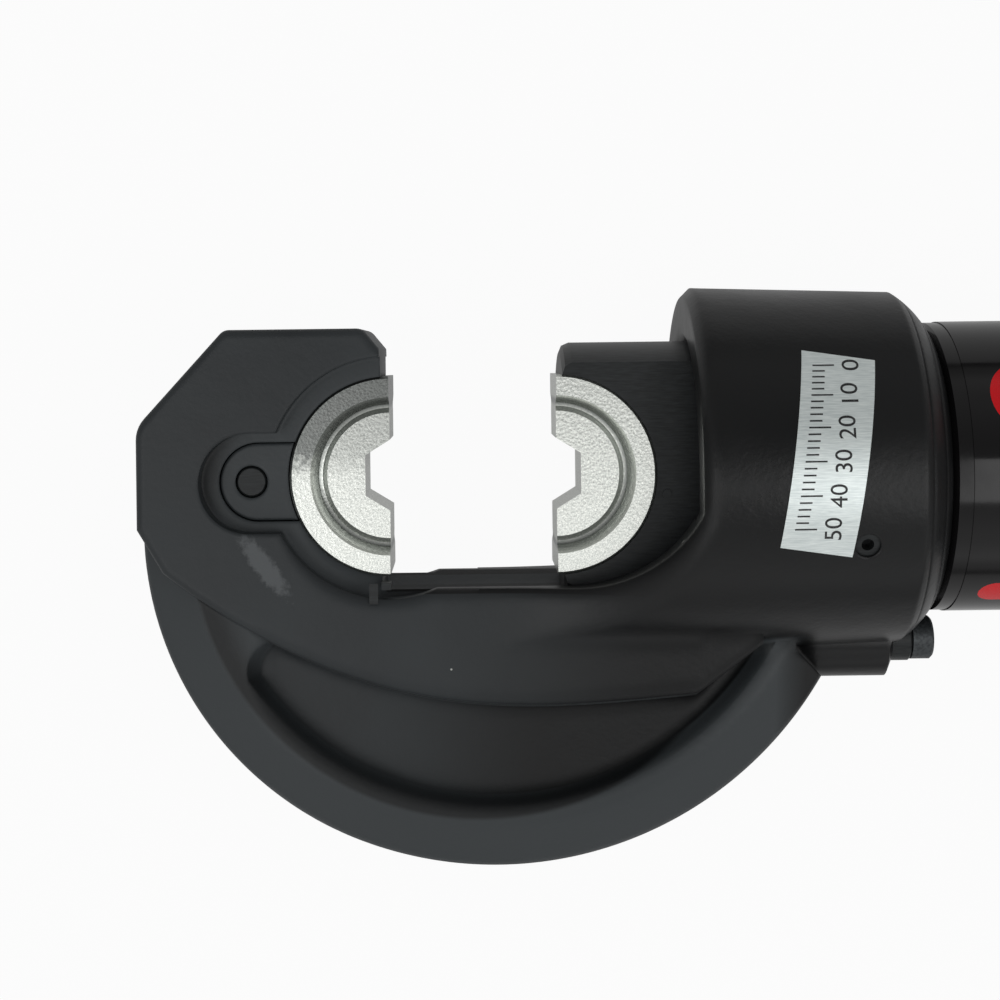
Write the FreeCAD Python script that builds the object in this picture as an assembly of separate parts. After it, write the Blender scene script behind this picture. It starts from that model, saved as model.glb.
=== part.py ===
import FreeCAD, Part
import math
import os

# A hand-pumped hydraulic tool for crimping cable lugs, lying on its side.
# X runs along the tool from the crimp to the handles, Y points out of the throat's open side,
# and Z stands up from the bench. The origin is on the tool's axis, at the fixed die's parting face.
# All sizes are millimetres.

# Fits between pieces
RUN_GAP = 0.05          # radial room of a shaft that turns or slides in its bore
PLAY = 0.3              # room beside a piece that passes another without touching
SEAT_GAP = 0.02         # room round a piece that is screwed or pressed into its seat
COIL_FLATS = 8          # straight pieces in a turn of a spring
FLAT = 0.05             # how far an edge may stray and still count as lying at a level

# Dies
DIE_GAP = 42.0          # opening between the dies, and the travel of the ram
DIE_R = 25.0
DIE_HALF_WIDTH = 17.0
DIE_RIM_IN_R = 19.3     # inner radius of the thick rim
DIE_WEB_R = 17.0        # radius of the thinner middle
DIE_WEB_HALF = 13.0
NEST_MOUTH = 17.8       # width of the crimp nest at the parting face
NEST_FLOOR = 10.2
NEST_DEPTH = 6.2
DIE_EDGE = 0.6
DIE_KEY_R = 2.8         # groove in the back of a die for the catch
DIE_KEY_DEPTH = 1.6

# Head forging
HEAD_HALF = 24.0        # half thickness of the anvil and of the inner flange
CRESCENT_X = 22.6       # centre of the arc that starts at the nose
CRESCENT_Y = -13.1
CRESCENT_R = 85.0
CRESCENT_FAR_R = 95.2   # the flatter arc that runs on to the collar
TURN_DEG = 248.4        # where the two arcs meet, seen from the first one's centre
FAR_END_DEG = -30.6     # where the second arc ends, seen from its own centre
NOSE_X = CRESCENT_X - CRESCENT_R     # the nose's flat end runs straight into the arc
NOSE_TOP_Y = 13.0
CROWN_Y = 37.0
CROWN_X0 = -40.4
CROWN_X1 = -6.1
TIP_Y = 32.0
TIP_X = -2.0
FLOOR_Y = -27.6         # floor of the throat
FLOOR_END_X = 45.0      # where the floor starts to curve up to the collar
CORNER_TOP_X = 78.6
CORNER_TOP_Y = 6.0
FLANGE_END_X = 101.0    # where the outer flange has run into the collar
PLATEAU_END_X = 92.0    # and the inner one
RISE_SPAN = 8.0         # last stretch of the inner flange, inside the swell
FLANGE_WIDTH = 12.4     # of the outer flange
RIM_HALF_IN = 18.5      # half thickness of the outer flange at its inner edge
RIM_HALF_OUT = 13.5     # and at the silhouette
WEB_HALF = 12.0         # half thickness in the pocket between the flanges
POCKET_DRAFT_IN = 2.4   # how far the pocket's upper wall leans
POCKET_DRAFT_OUT = 6.0  # how far its lower wall leans
FLANGE_DRAFT = 3.0      # lean of the step from the inner flange to the outer one
POCKET_LEDGE = 0.55     # from that step to the pocket's upper wall
FLANGE_LINE = ((-56.0, -22.5), (-29.0, -40.0), (2.0, -52.0), (33.0, -55.9), (55.0, -55.3),
               (76.0, -53.6))   # where the inner flange ends, from the nose to the collar
NOSE_R = 8.0            # rounding of the nose's upper corner
CORNER_R = 3.0          # and of the crown's corners
RIM_R = 3.0             # of the silhouette
FACE_EDGE_R = 2.0       # of the edges of the two flat faces
RING_R = 30.0           # sunk ring round the fixed die
RING_HALF = 18.0
LOCK_X = -34.5          # centre of the round end of the sunk lock area
LOCK_Y = -1.0
LOCK_OUT_R = 12.4
KEEPER_R = 9.6
KEEPER_X = -32.6
KEEPER_THICK = 4.0
KEEPER_TOP = 16.8

# Catch that holds the fixed die
LOCK_PIN_R = 3.75
LOCK_BORE_R = LOCK_PIN_R + RUN_GAP
LOCK_PLUG_R = 5.5
LOCK_PLUG_LENGTH = 4.0
LOCK_PRESS = 3.0
CATCH_R = 3.0
CATCH_TRAVEL = 1.8

# Collar of the head
COLLAR_R = 46.7         # at the front
COLLAR_REAR_R = 45.1    # where the rear shoulder starts
COLLAR_X0 = 75.4
COLLAR_CHAMFER = 2.2
COLLAR_END = 136.0
SHOULDER_X0 = 128.0     # where the sloping rear shoulder starts
SHOULDER_R = 36.8       # radius where it ends
SHOULDER_BULGE = 0.7    # how far it bulges over a straight cone
SHOULDER_LINES = (2.0, 5.9)    # turned lines on the shoulder, from where it starts
LINE_DEPTH = 0.35
SWELL_X0 = 22.0         # where the C starts to swell into the collar
SWELL_BLEND = 6.0
BOSS_R = 9.7            # bulge under the collar that carries the plunger
BOSS_X0 = 98.0
BOSS_X1 = 127.8
BOSS_BLEND = 8.0        # hollow between the bulge and the collar
BOSS_LEAN = 1.6         # length of the bulge's rear chamfer
BOSS_STEP = 3.4         # and its depth
LABEL_X0 = 93.2
LABEL_THICK = 0.25
LABEL_WIDTH = 17.3
LABEL_TOP_DEG = 41.5
LABEL_LOW_DEG = -21.0
LABEL_SLANT_DEG = 8.6

# Ram and piston
RAM_R = 33.0
RAM_X0 = 43.5
RAM_FLAT = 17.6
RAM_FLAT_X1 = 84.0
RAM_X1 = 97.0
RAM_EDGE = 2.5
PISTON_R = 25.0
PISTON_X1 = 182.0
PISTON_CORE_R = 12.5
PISTON_CORE_X0 = 106.0
STUD_R = 12.0
STUD_X0 = 86.0

# Catch behind the moving die
RAM_CATCH_R = 5.0
RAM_PIN_R = 1.1
RAM_PIN_X = 69.3
RAM_PIN_Y = -5.1
RAM_CATCH_X1 = 76.0
RAM_BORE_X1 = 83.0

# Piston seals and return spring
SEAL_X = 170.0
SEAL_WIDTH = 5.6
SEAL_GROOVE_R = 20.5
WEAR_X = 156.0
WEAR_WIDTH = 8.0
WEAR_GROOVE_R = 22.6
WIPER_WIDTH = 5.0
WIPER_R = 28.5
HOOK_PIN_R = 2.0
HOOK_PIN_X = 112.0
SPRING_R = 8.6
SPRING_WIRE_R = 1.3
SPRING_TURNS = 9
ANCHOR_X = 190.0

# Cylinder
SPIGOT_R = 32.0
SPIGOT_X0 = 99.0
TUBE_R = 37.0
TUBE_X1 = 215.0
CHAMBER_X1 = 196.0      # closed end of the bore
FILM_THICK = 0.25
FILM_X0 = 141.0
FILM_X1 = 209.0
RETAIN_X = 114.2        # groove that the head's screws run in
RETAIN_HALF = 2.2
RETAIN_DEPTH = 2.6
RETAIN_SCREW_R = 3.0
RETAIN_SOCKET = 1.5     # half width of the screws' sockets
RETAIN_ANGLES = (-21.0, 99.0, 219.0)   # from +Z towards +Y

# Turning detent and its plunger
PLUNGER_R = 5.55        # pin that shows behind the collar
PLUNGER_X1 = 138.7
BUSH_R = 5.9
BUSH_X1 = 133.0
BOSS_Y = -(TUBE_R + PLUNGER_R + 1.75)   # the pin clears the tube, also when it is pulled
STEM_R = 2.5
DETENT_X = 106.0
DETENT_BALL_R = 3.0
DETENT_DEPTH = 1.0
BUSH_BORE_R = 5.2
BUSH_BORE_X0 = 120.0
STEM_BORE_R = 4.2
DETENT_CENTRE = SPIGOT_R - DETENT_DEPTH + PLAY / 3 + DETENT_BALL_R
WEDGE_HIGH = 2.6        # from the plunger's axis to the detent's pusher
PUSHER_TOP = -BOSS_Y - WEDGE_HIGH
WEDGE_X0 = DETENT_X - 3.5
WEDGE_X1 = WEDGE_X0 + 9.0
GUIDE_LENGTH = 2.0      # of the plunger's inner guide behind the wedge

# Pump end
BLOCK_X1 = 283.0
BLOCK_TOP = TUBE_R - 7.0
BLOCK_LOW = -(TUBE_R + 3.0)
BLOCK_HALF = TUBE_R - 10.0
BLOCK_CHAMFER = 5.0
PUMP_X = 269.0
PUMP_R = 6.0
PUMP_TOP = -3.0
PUMP_PIN_R = 3.5
PIVOT_X = 248.0
PIVOT_Y = BLOCK_LOW - 22.0
PIVOT_R = 5.0
HANDLE_OPEN_DEG = 50.0
CHEEK_IN = 6.5          # inner face of each fork cheek
CHEEK_THICK = 5.0
EAR_THICK = 6.0
BLOCK_SCREW_R = 3.0
BLOCK_SCREW_LENGTH = 15.0
SCREW_HEAD_R = 5.0
SCREW_HEAD_HIGH = 6.0
SCREW_SOCKET = 2.3
SCREW_EDGE = 9.0        # from the block's edges to the screws
VALVE_R = 5.5
VALVE_BALL_R = 3.5
SUCTION_X = PUMP_X
DISCHARGE_X = 236.0
RELEASE_X = 238.0
RELEASE_Y = -14.0
RELIEF_X = 256.0
RELIEF_Y = 12.0
KNOB_R = 12.0
GLAND_R = 10.0
GLAND_LENGTH = 13.0
EAR_R = 11.0
VALVE_FLOOR_Y = 8.0
VALVE_PLUG_LENGTH = 8.0
SIDE_FLOOR_Z = 6.0
NECK_X1 = 224.0
PUMP_SEAL_R = 8.5
PLUNGER_LOW = PIVOT_Y + (PUMP_X - PIVOT_X) * math.tan(math.radians(HANDLE_OPEN_DEG / 2))
BALL_Y = VALVE_FLOOR_Y + 3.2
RELIEF_Z = SIDE_FLOOR_Z
PORT_Y = 14.0
FLOW_R = 1.5

# Handles
RESERVOIR_R = 19.0
RESERVOIR_WALL = 1.8
RESERVOIR_X1 = 575.0
NUT_R = 24.0
NUT_LENGTH = 17.0
GRIP_LENGTH = 120.0
GRIP_WALL = 3.5
CAP_LENGTH = 15.0
LEVER_R = 11.0
LEVER_WALL = 2.0
LEVER_X1 = 592.0
LEVER_GRIP_WALL = 5.0
PLUG_R = 6.5
FORK_ROOT_X = 291.0
FORK_END_X = 332.0
FORK_R = 14.5
SLOT_HALF = PUMP_PIN_R + 0.45

X_DIR = FreeCAD.Vector(1, 0, 0)
Y_DIR = FreeCAD.Vector(0, 1, 0)
Z_DIR = FreeCAD.Vector(0, 0, 1)
ORIGIN = FreeCAD.Vector(0, 0, 0)


def at(x, y=0.0, z=0.0):
    return FreeCAD.Vector(x, y, z)


def lathe(points, centre=ORIGIN, along=X_DIR):
    """A turned solid: points are (station, radius) pairs round the closed profile."""
    corners = [at(station, radius) for station, radius in points]
    face = Part.Face(Part.makePolygon(corners + corners[:1]))
    solid = face.revolve(ORIGIN, X_DIR, 360)
    solid.Placement = FreeCAD.Placement(centre, FreeCAD.Rotation(X_DIR, along))
    return solid


def rod(radius, start, end, centre=ORIGIN, along=X_DIR):
    return lathe([(start, 0), (start, radius), (end, radius), (end, 0)], centre, along)


def tube(inner, outer, start, end, centre=ORIGIN, along=X_DIR):
    return lathe([(start, inner), (start, outer), (end, outer), (end, inner)], centre, along)


def block(x0, x1, y0, y1, z0, z1):
    return Part.makeBox(x1 - x0, y1 - y0, z1 - z0, at(x0, y0, z0))


def slab(wire, z0, z1):
    """A plate with the outline of a flat wire in the XY plane."""
    plate = Part.Face(wire).extrude(at(0, 0, z1 - z0))
    plate.translate(at(0, 0, z0))
    return plate


def obround(x0, x1, y, radius):
    """A closed wire with two straight sides along X and round ends."""
    low_0 = at(x0, y - radius)
    low_1 = at(x1, y - radius)
    high_1 = at(x1, y + radius)
    high_0 = at(x0, y + radius)
    return Part.Wire([
        Part.makeLine(low_0, low_1),
        Part.Arc(low_1, at(x1 + radius, y), high_1).toShape(),
        Part.makeLine(high_1, high_0),
        Part.Arc(high_0, at(x0 - radius, y), low_0).toShape(),
    ])


def wire(points, half):
    """Square wire of flat faces along a bent line; half is half the wire's thickness."""
    rings = []
    normal = None
    for index, point in enumerate(points):
        before = points[max(index - 1, 0)]
        after = points[min(index + 1, len(points) - 1)]
        ahead = (after - before).normalize()
        if normal is None:
            normal = ahead.cross(X_DIR if abs(ahead.x) < 0.9 else Y_DIR)
        normal = (normal - ahead * normal.dot(ahead)).normalize()
        beside = ahead.cross(normal)
        rings.append([point + normal * (half * out) + beside * (half * up)
                      for out, up in ((-1, -1), (1, -1), (1, 1), (-1, 1))])
    faces = []
    for first, second in zip(rings, rings[1:]):
        for side in range(4):
            a, b = first[side], first[(side + 1) % 4]
            c, d = second[(side + 1) % 4], second[side]
            faces += [triangle(a, b, c), triangle(a, c, d)]
    for a, b, c, d in (rings[0], rings[-1]):
        faces += [triangle(a, b, c), triangle(a, c, d)]
    solid = Part.Solid(Part.Shell(faces))
    if solid.Volume < 0:
        solid.reverse()
    return solid


def helix(mean_r, start, end, turns):
    """Points of a coil round X, a few to each turn, from one station to another."""
    count = turns * COIL_FLATS
    points = []
    for index in range(count + 1):
        angle = 2 * math.pi * index / COIL_FLATS
        points.append(at(start + (end - start) * index / count,
                         mean_r * math.sin(angle), mean_r * math.cos(angle)))
    return points


def coil(mean_r, wire_r, start, end, turns, centre=ORIGIN, along=X_DIR):
    """A compression spring between two stations."""
    spring = wire(helix(mean_r, start + wire_r, end - wire_r, turns), wire_r)
    spring.Placement = FreeCAD.Placement(centre, FreeCAD.Rotation(X_DIR, along))
    return spring


def triangle(a, b, c):
    return Part.Face(Part.makePolygon([a, b, c, a]))


def edges_where(shape, test):
    return [edge for edge in shape.Edges if test(edge)]


def mid_of(edge):
    return edge.valueAt((edge.FirstParameter + edge.LastParameter) / 2)


def polar(radius, degrees, centre_x=0.0, centre_y=0.0):
    angle = math.radians(degrees)
    return at(centre_x + radius * math.cos(angle), centre_y + radius * math.sin(angle))


def arc_between(first, second, inset, centre, radius):
    """Points at the start, middle and end of an arc round a centre, between two angles."""
    return [polar(radius - inset, angle, centre.x, centre.y)
            for angle in (first, (first + second) / 2, second)]


def near_centre():
    return at(CRESCENT_X, CRESCENT_Y)


def far_centre():
    """Centre of the second arc, placed so that the two arcs run into each other."""
    turn = polar(1, TURN_DEG)
    return near_centre() - turn * (CRESCENT_FAR_R - CRESCENT_R)


def near_arc(start_deg, inset=0.0):
    """The arc from an angle near the nose to the place where the arcs meet."""
    return arc_between(start_deg, TURN_DEG, inset, near_centre(), CRESCENT_R)


def far_arc(end_deg, inset=0.0):
    """The arc from the meeting place on to the collar."""
    return arc_between(TURN_DEG - 360, end_deg, inset, far_centre(), CRESCENT_FAR_R)


def arc(points, z=0.0):
    lifted = [at(point.x, point.y, z) for point in points]
    return Part.Arc(*lifted).toShape()


def polyline(points, z=0.0):
    lifted = [at(point.x, point.y, z) for point in points]
    return [Part.makeLine(a, b) for a, b in zip(lifted, lifted[1:])]


def head_outline():
    """The C seen from the front, without the collar."""
    seat_y = math.sqrt((DIE_R + SEAT_GAP) ** 2 - TIP_X ** 2)
    tip_seat = at(TIP_X, seat_y)
    low_seat = at(TIP_X, -seat_y)
    floor_1 = at(FLOOR_END_X, FLOOR_Y)
    corner = at(CORNER_TOP_X, CORNER_TOP_Y)
    half = math.radians(45)
    corner_mid = at(floor_1.x + (corner.x - floor_1.x) * math.sin(half),
                    FLOOR_Y + (CORNER_TOP_Y - FLOOR_Y) * (1 - math.cos(half)))
    near = near_arc(180)
    far = far_arc(FAR_END_DEG)
    anvil = [near[0], at(NOSE_X, NOSE_TOP_Y), at(CROWN_X0, CROWN_Y), at(CROWN_X1, CROWN_Y),
             at(TIP_X, TIP_Y), tip_seat]
    end = [corner, at(FLANGE_END_X, CORNER_TOP_Y), at(FLANGE_END_X, BOSS_Y), far[2]]
    return Part.Wire(
        polyline(anvil)
        + [arc([tip_seat, at(-DIE_R - SEAT_GAP, 0), low_seat])]
        + polyline([low_seat, at(TIP_X, FLOOR_Y), floor_1])
        + [arc([floor_1, corner_mid, corner])]
        + polyline(end)
        + [arc(far[::-1]), arc(near[::-1])])


def flange_line(shift, z):
    """The smooth part of the line where the thick inner flange ends, moved outwards by shift."""
    curve = Part.BSplineCurve()
    curve.interpolate([at(x, y - shift, z) for x, y in FLANGE_LINE])
    return curve


def flange_edge(shift, z):
    """The closed outline of the inner flange's side of the head, moved outwards by shift."""
    curve = flange_line(shift, z)
    rise = [curve.EndPoint, at(PLATEAU_END_X, -42.0 - shift), at(PLATEAU_END_X, CROWN_Y + 10),
            at(NOSE_X - 10, CROWN_Y + 10), at(NOSE_X - 10, 5.7 - 1.6 * shift), curve.StartPoint]
    return Part.Wire([curve.toShape()] + polyline(rise, z))


def pocket_edge(inset_in, inset_out, z):
    """The closed outline of the pocket between the flanges, shrunk by the two insets."""
    inset = FLANGE_WIDTH + inset_out
    near = near_arc(211.5 + inset_out / 3, inset)
    far = far_arc(-28.0, inset)
    curve = flange_line(POCKET_LEDGE + inset_in, z)
    first = curve.parameter(at(-31.5 + inset_out / 2, -38.0 - inset_in, z))
    start = curve.value(first)
    left_mid = at(near[0].x + 0.8, start.y - 3.6)
    return Part.Wire(
        [curve.toShape(first, curve.LastParameter)]
        + polyline([curve.EndPoint, at(PLATEAU_END_X, far[2].y), far[2]], z)
        + [arc(far[::-1], z), arc(near[::-1], z), arc([near[0], left_mid, start], z)])


def beyond_turn(side):
    """Everything on one side of the line through both centres of the crescent's arcs."""
    reach = 3 * CRESCENT_FAR_R
    low = 0 if side > 0 else -reach
    half = block(-reach, reach, low, low + reach, -reach, reach)
    half.rotate(ORIGIN, Z_DIR, TURN_DEG)
    half.translate(near_centre())
    return half


def rim_envelope():
    """Two turned discs, one for each arc of the crescent, that bevel the outer flange."""
    discs = []
    for centre, radius, side in ((near_centre(), CRESCENT_R, -1),
                                 (far_centre(), CRESCENT_FAR_R, 1)):
        far_r = radius + 60
        inner = radius - FLANGE_WIDTH
        points = [(-RIM_HALF_IN, 0), (-RIM_HALF_IN, inner), (-RIM_HALF_OUT, radius),
                  (-RIM_HALF_OUT, far_r), (RIM_HALF_OUT, far_r), (RIM_HALF_OUT, radius),
                  (RIM_HALF_IN, inner), (RIM_HALF_IN, 0)]
        discs.append(lathe(points, centre, Z_DIR).common(beyond_turn(side)))
    return discs[0].fuse(discs[1])


def c_plate():
    """Anvil, crescent and the flanges, with the pocket on both faces."""
    outline = head_outline()
    lower = slab(outline, -HEAD_HALF, HEAD_HALF).common(rim_envelope())
    full = slab(outline, -HEAD_HALF, HEAD_HALF)
    plate = lower
    for side in (1, -1):
        top = flange_edge(0, side * (HEAD_HALF + 1))
        foot = flange_edge(FLANGE_DRAFT, side * (WEB_HALF - 1))
        flange = Part.makeLoft([foot, top], True, True)
        plate = plate.fuse(full.common(flange))
    for side in (1, -1):
        floor = pocket_edge(POCKET_DRAFT_IN, POCKET_DRAFT_OUT, side * WEB_HALF)
        mouth = pocket_edge(-0.4, 0, side * (HEAD_HALF + 2))
        plate = plate.cut(Part.makeLoft([floor, mouth], True, True))
    return soften_plate(plate.removeSplitter())


def at_level(edge, height):
    """Whether an edge lies flat at a height above or below the middle plane."""
    return edge.BoundBox.ZLength < FLAT and abs(abs(mid_of(edge).z) - height) < FLAT


def soften_plate(plate):
    """Rounds the forging's edges, the corners first and the edges of the faces last."""
    def upright(edge, place):
        middle = mid_of(edge)
        return edge.BoundBox.ZLength > HEAD_HALF and middle.distanceToPoint(place) < 1

    def nose(edge):
        return upright(edge, at(NOSE_X, NOSE_TOP_Y))

    def crown(edge):
        return upright(edge, at(CROWN_X0, CROWN_Y)) or upright(edge, at(CROWN_X1, CROWN_Y))

    def rim(edge):
        return at_level(edge, RIM_HALF_OUT) and mid_of(edge).y < BOSS_Y - BOSS_R

    def face(edge):
        middle = mid_of(edge)
        seat = abs(middle.x + DIE_R) < 1
        tip = abs(middle.x - TIP_X) < 3 and middle.y > 0
        covered = middle.y > FLOOR_Y or middle.x > PLATEAU_END_X - RISE_SPAN
        hidden = middle.x > CORNER_TOP_X and covered
        return at_level(edge, HEAD_HALF) and not (seat or tip or hidden)

    for radius, test in ((NOSE_R, nose), (CORNER_R, crown), (RIM_R, rim), (FACE_EDGE_R, face)):
        plate = plate.makeFillet(radius, edges_where(plate, test))
    return plate


def swell():
    """The soft widening of the C into the collar: a collar-sized bar under an arched ramp."""
    reach = COLLAR_R + SWELL_BLEND
    blend_y = -math.sqrt(reach ** 2 - (HEAD_HALF + SWELL_BLEND) ** 2)
    touch = at(0, blend_y, HEAD_HALF + SWELL_BLEND) * (COLLAR_R / reach)
    foot = at(0, blend_y, HEAD_HALF)
    centre = at(0, blend_y, HEAD_HALF + SWELL_BLEND)
    hollow = (touch + foot) * 0.5 - centre
    bend = centre + hollow * (SWELL_BLEND / hollow.Length)
    top = at(0, 0, COLLAR_R)
    crown = at(0, touch.y * 0.5, math.sqrt(COLLAR_R ** 2 - (touch.y * 0.5) ** 2))
    low = at(0, blend_y, 0)
    section = Part.Wire([
        Part.makeLine(at(0, 0, 0), top),
        Part.Arc(top, crown, touch).toShape(),
        Part.Arc(touch, bend, foot).toShape(),
        Part.makeLine(foot, low),
        Part.makeLine(low, at(0, 0, 0)),
    ])
    bar = Part.Face(section).extrude(at(COLLAR_X0 + COLLAR_CHAMFER - SWELL_X0, 0, 0))
    bar.translate(at(SWELL_X0, 0, 0))
    rise = COLLAR_R - HEAD_HALF
    run = COLLAR_X0 + COLLAR_CHAMFER - SWELL_X0
    ramp_r = (run ** 2 + rise ** 2) / (2 * rise)
    end = at(SWELL_X0 + run, 0, COLLAR_R)
    begin = at(SWELL_X0, 0, HEAD_HALF)
    half = math.asin(run / ramp_r) / 2
    middle = at(SWELL_X0 + ramp_r * math.sin(half), 0, HEAD_HALF + ramp_r * (1 - math.cos(half)))
    ramp = Part.Wire([
        Part.Arc(begin, middle, end).toShape(),
        Part.makeLine(end, at(end.x, 0, 0)),
        Part.makeLine(at(end.x, 0, 0), at(begin.x, 0, 0)),
        Part.makeLine(at(begin.x, 0, 0), begin),
    ])
    under = Part.Face(ramp).extrude(at(0, -2 * COLLAR_R, 0))
    upper = bar.common(under)
    lower = upper.mirror(ORIGIN, Z_DIR)
    return upper.fuse(lower)


def shoulder():
    """Centre and radius of the arc that the shoulder is turned to."""
    front = at(SHOULDER_X0, COLLAR_REAR_R)
    rear = at(COLLAR_END, SHOULDER_R)
    chord = rear - front
    outward = at(-chord.y, chord.x) * (1 / chord.Length)
    bend = (chord.Length ** 2 / 4 + SHOULDER_BULGE ** 2) / (2 * SHOULDER_BULGE)
    return (front + rear) * 0.5 + outward * (SHOULDER_BULGE - bend), bend


def collar():
    """The slightly conical collar with its sloping rear shoulder and the lines turned in it."""
    centre, bend = shoulder()
    corners = [at(COLLAR_END, SHOULDER_R), at(COLLAR_END), at(COLLAR_X0),
               at(COLLAR_X0, COLLAR_R - COLLAR_CHAMFER), at(COLLAR_X0 + COLLAR_CHAMFER, COLLAR_R),
               at(SHOULDER_X0, COLLAR_REAR_R)]
    outward = (corners[0] + corners[-1]) * 0.5 - centre
    edges = polyline(corners)
    edges.append(arc([corners[-1], centre + outward * (bend / outward.Length), corners[0]]))
    body = Part.Face(Part.Wire(edges)).revolve(ORIGIN, X_DIR, 360)
    for along in SHOULDER_LINES:
        x = SHOULDER_X0 + along
        spot = at(x, centre.y + math.sqrt(bend ** 2 - (x - centre.x) ** 2))
        deep = (spot - centre) * (LINE_DEPTH / bend)
        wide = at(deep.y, -deep.x) * 2
        groove = [spot + deep + wide, spot + deep - wide, spot - deep]
        body = body.cut(lathe([(point.x, point.y) for point in groove]))
    return body


def collar_radius(x):
    """Radius of the collar at a station, in front of its shoulder."""
    front = COLLAR_X0 + COLLAR_CHAMFER
    share = (x - front) / (SHOULDER_X0 - front)
    return COLLAR_R + (COLLAR_REAR_R - COLLAR_R) * share


def boss():
    """The bulge under the collar, blended into the collar's side by two hollows."""
    far = COLLAR_REAR_R + BOSS_BLEND
    near = BOSS_R + BOSS_BLEND
    down = (far ** 2 - near ** 2 + BOSS_Y ** 2) / (-2 * BOSS_Y)
    aside = math.sqrt(far ** 2 - down ** 2)
    axis = at(0, BOSS_Y)
    right = []
    left = []
    for side, points in ((1, right), (-1, left)):
        hollow = at(0, -down, side * aside)
        touch_collar = hollow * (COLLAR_REAR_R / far)
        touch_boss = axis + (hollow - axis) * (BOSS_R / near)
        toward = (touch_collar + touch_boss) * 0.5 - hollow
        points += [touch_collar, hollow + toward * (BOSS_BLEND / toward.Length), touch_boss]
    section = Part.Wire([
        Part.makeLine(ORIGIN, right[0]),
        Part.Arc(*right).toShape(),
        Part.Arc(right[2], axis - Y_DIR * BOSS_R, left[2]).toShape(),
        Part.Arc(*left[::-1]).toShape(),
        Part.makeLine(left[0], ORIGIN),
    ])
    body = Part.Face(section).extrude(at(BOSS_X1 - BOSS_X0))
    body.translate(at(BOSS_X0))
    wide = -BOSS_Y
    return body.common(lathe([(BOSS_X0, 0), (BOSS_X0, wide), (BOSS_X1 - BOSS_LEAN, wide),
                              (BOSS_X1 - BOSS_LEAN, BOSS_R), (BOSS_X1, BOSS_R - BOSS_STEP),
                              (BOSS_X1, 0)], axis))


def head_cuts():
    """What is bored and milled out of the forging."""
    cuts = []
    mouth = COLLAR_X0 + 1.5
    cavity_r = RAM_R + 0.5
    cuts.append(lathe([(COLLAR_X0 - 1, 0), (COLLAR_X0 - 1, cavity_r + 2.5), (mouth, cavity_r),
                       (SPIGOT_X0, cavity_r), (SPIGOT_X0, 0)]))
    cuts.append(rod(SPIGOT_R, SPIGOT_X0 - 1, COLLAR_END + 1))
    cuts.append(rod(RAM_R + 0.4, TIP_X, COLLAR_X0))
    cuts.append(block(TIP_X, COLLAR_X0 - 0.01, CORNER_TOP_Y - 6, COLLAR_R + 5, -60, 60))
    for side in (1, -1):
        low = min(side * RING_HALF, side * (HEAD_HALF + 1))
        high = max(side * RING_HALF, side * (HEAD_HALF + 1))
        cuts.append(rod(RING_R, low, high, ORIGIN, Z_DIR))
    cuts.append(slab(obround(LOCK_X, 0, LOCK_Y, LOCK_OUT_R), RING_HALF, HEAD_HALF + 1))
    cuts.append(slab(obround(KEEPER_X, 0, LOCK_Y, KEEPER_R + PLAY),
                     KEEPER_TOP - KEEPER_THICK, RING_HALF + 1))
    cuts.append(rod(LOCK_BORE_R, -HEAD_HALF - 1, HEAD_HALF, at(LOCK_X, LOCK_Y), Z_DIR))
    cuts.append(rod(LOCK_PLUG_R + SEAT_GAP, -HEAD_HALF - 1, -HEAD_HALF + LOCK_PLUG_LENGTH,
                    at(LOCK_X, LOCK_Y), Z_DIR))
    cuts.append(rod(CATCH_R + RUN_GAP, LOCK_X, 0, at(0, LOCK_Y), X_DIR))
    for angle in RETAIN_ANGLES:
        cuts.append(rod(RETAIN_SCREW_R + SEAT_GAP, SPIGOT_R - 2, COLLAR_R + 12,
                        at(RETAIN_X), radial(angle)))
    cuts.append(rod(BUSH_BORE_R + SEAT_GAP, BUSH_BORE_X0, COLLAR_END + 5, at(0, BOSS_Y)))
    cuts.append(rod(BUSH_R + PLAY, BOSS_X1, COLLAR_END + 5, at(0, BOSS_Y)))
    cuts.append(rod(STEM_BORE_R, DETENT_X - 6, BUSH_BORE_X0 + 1, at(0, BOSS_Y)))
    cuts.append(rod(DETENT_BALL_R + RUN_GAP, SPIGOT_R - 2, -BOSS_Y, at(DETENT_X), Y_DIR * -1))
    return cuts


def radial(degrees):
    """A direction square to the tool's axis, at an angle from +Z towards +Y."""
    angle = math.radians(degrees)
    return at(0, math.sin(angle), math.cos(angle))


def head_frame():
    inside = slab(head_outline(), -COLLAR_R, COLLAR_R)
    head = c_plate().fuse(swell().common(inside)).fuse(collar()).fuse(boss())
    for cut in head_cuts():
        head = head.cut(cut)
    return head.removeSplitter()


def collar_label():
    """A thin foil wrapped on the collar, its ends cut on a slant."""
    ends = (LABEL_X0 - LABEL_WIDTH / 2, LABEL_X0 + 2 * LABEL_WIDTH)
    under = [(x, collar_radius(x) + SEAT_GAP) for x in ends]
    above = [(x, radius + LABEL_THICK) for x, radius in reversed(under)]
    sleeve = lathe(under + above)
    inner = collar_radius(LABEL_X0 + LABEL_WIDTH)
    high_y = inner * math.sin(math.radians(LABEL_TOP_DEG))
    low_y = inner * math.sin(math.radians(LABEL_LOW_DEG))
    lean = (high_y - low_y) * math.tan(math.radians(LABEL_SLANT_DEG))
    rise = LABEL_WIDTH * math.tan(math.radians(LABEL_SLANT_DEG))
    x0 = LABEL_X0
    corners = [at(x0 + lean, high_y), at(x0 + lean + LABEL_WIDTH, high_y - rise),
               at(x0 + LABEL_WIDTH, low_y - rise), at(x0, low_y)]
    cutter = slab(Part.makePolygon(corners + corners[:1]), 0, COLLAR_R + 2)
    return sleeve.common(cutter)


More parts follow.
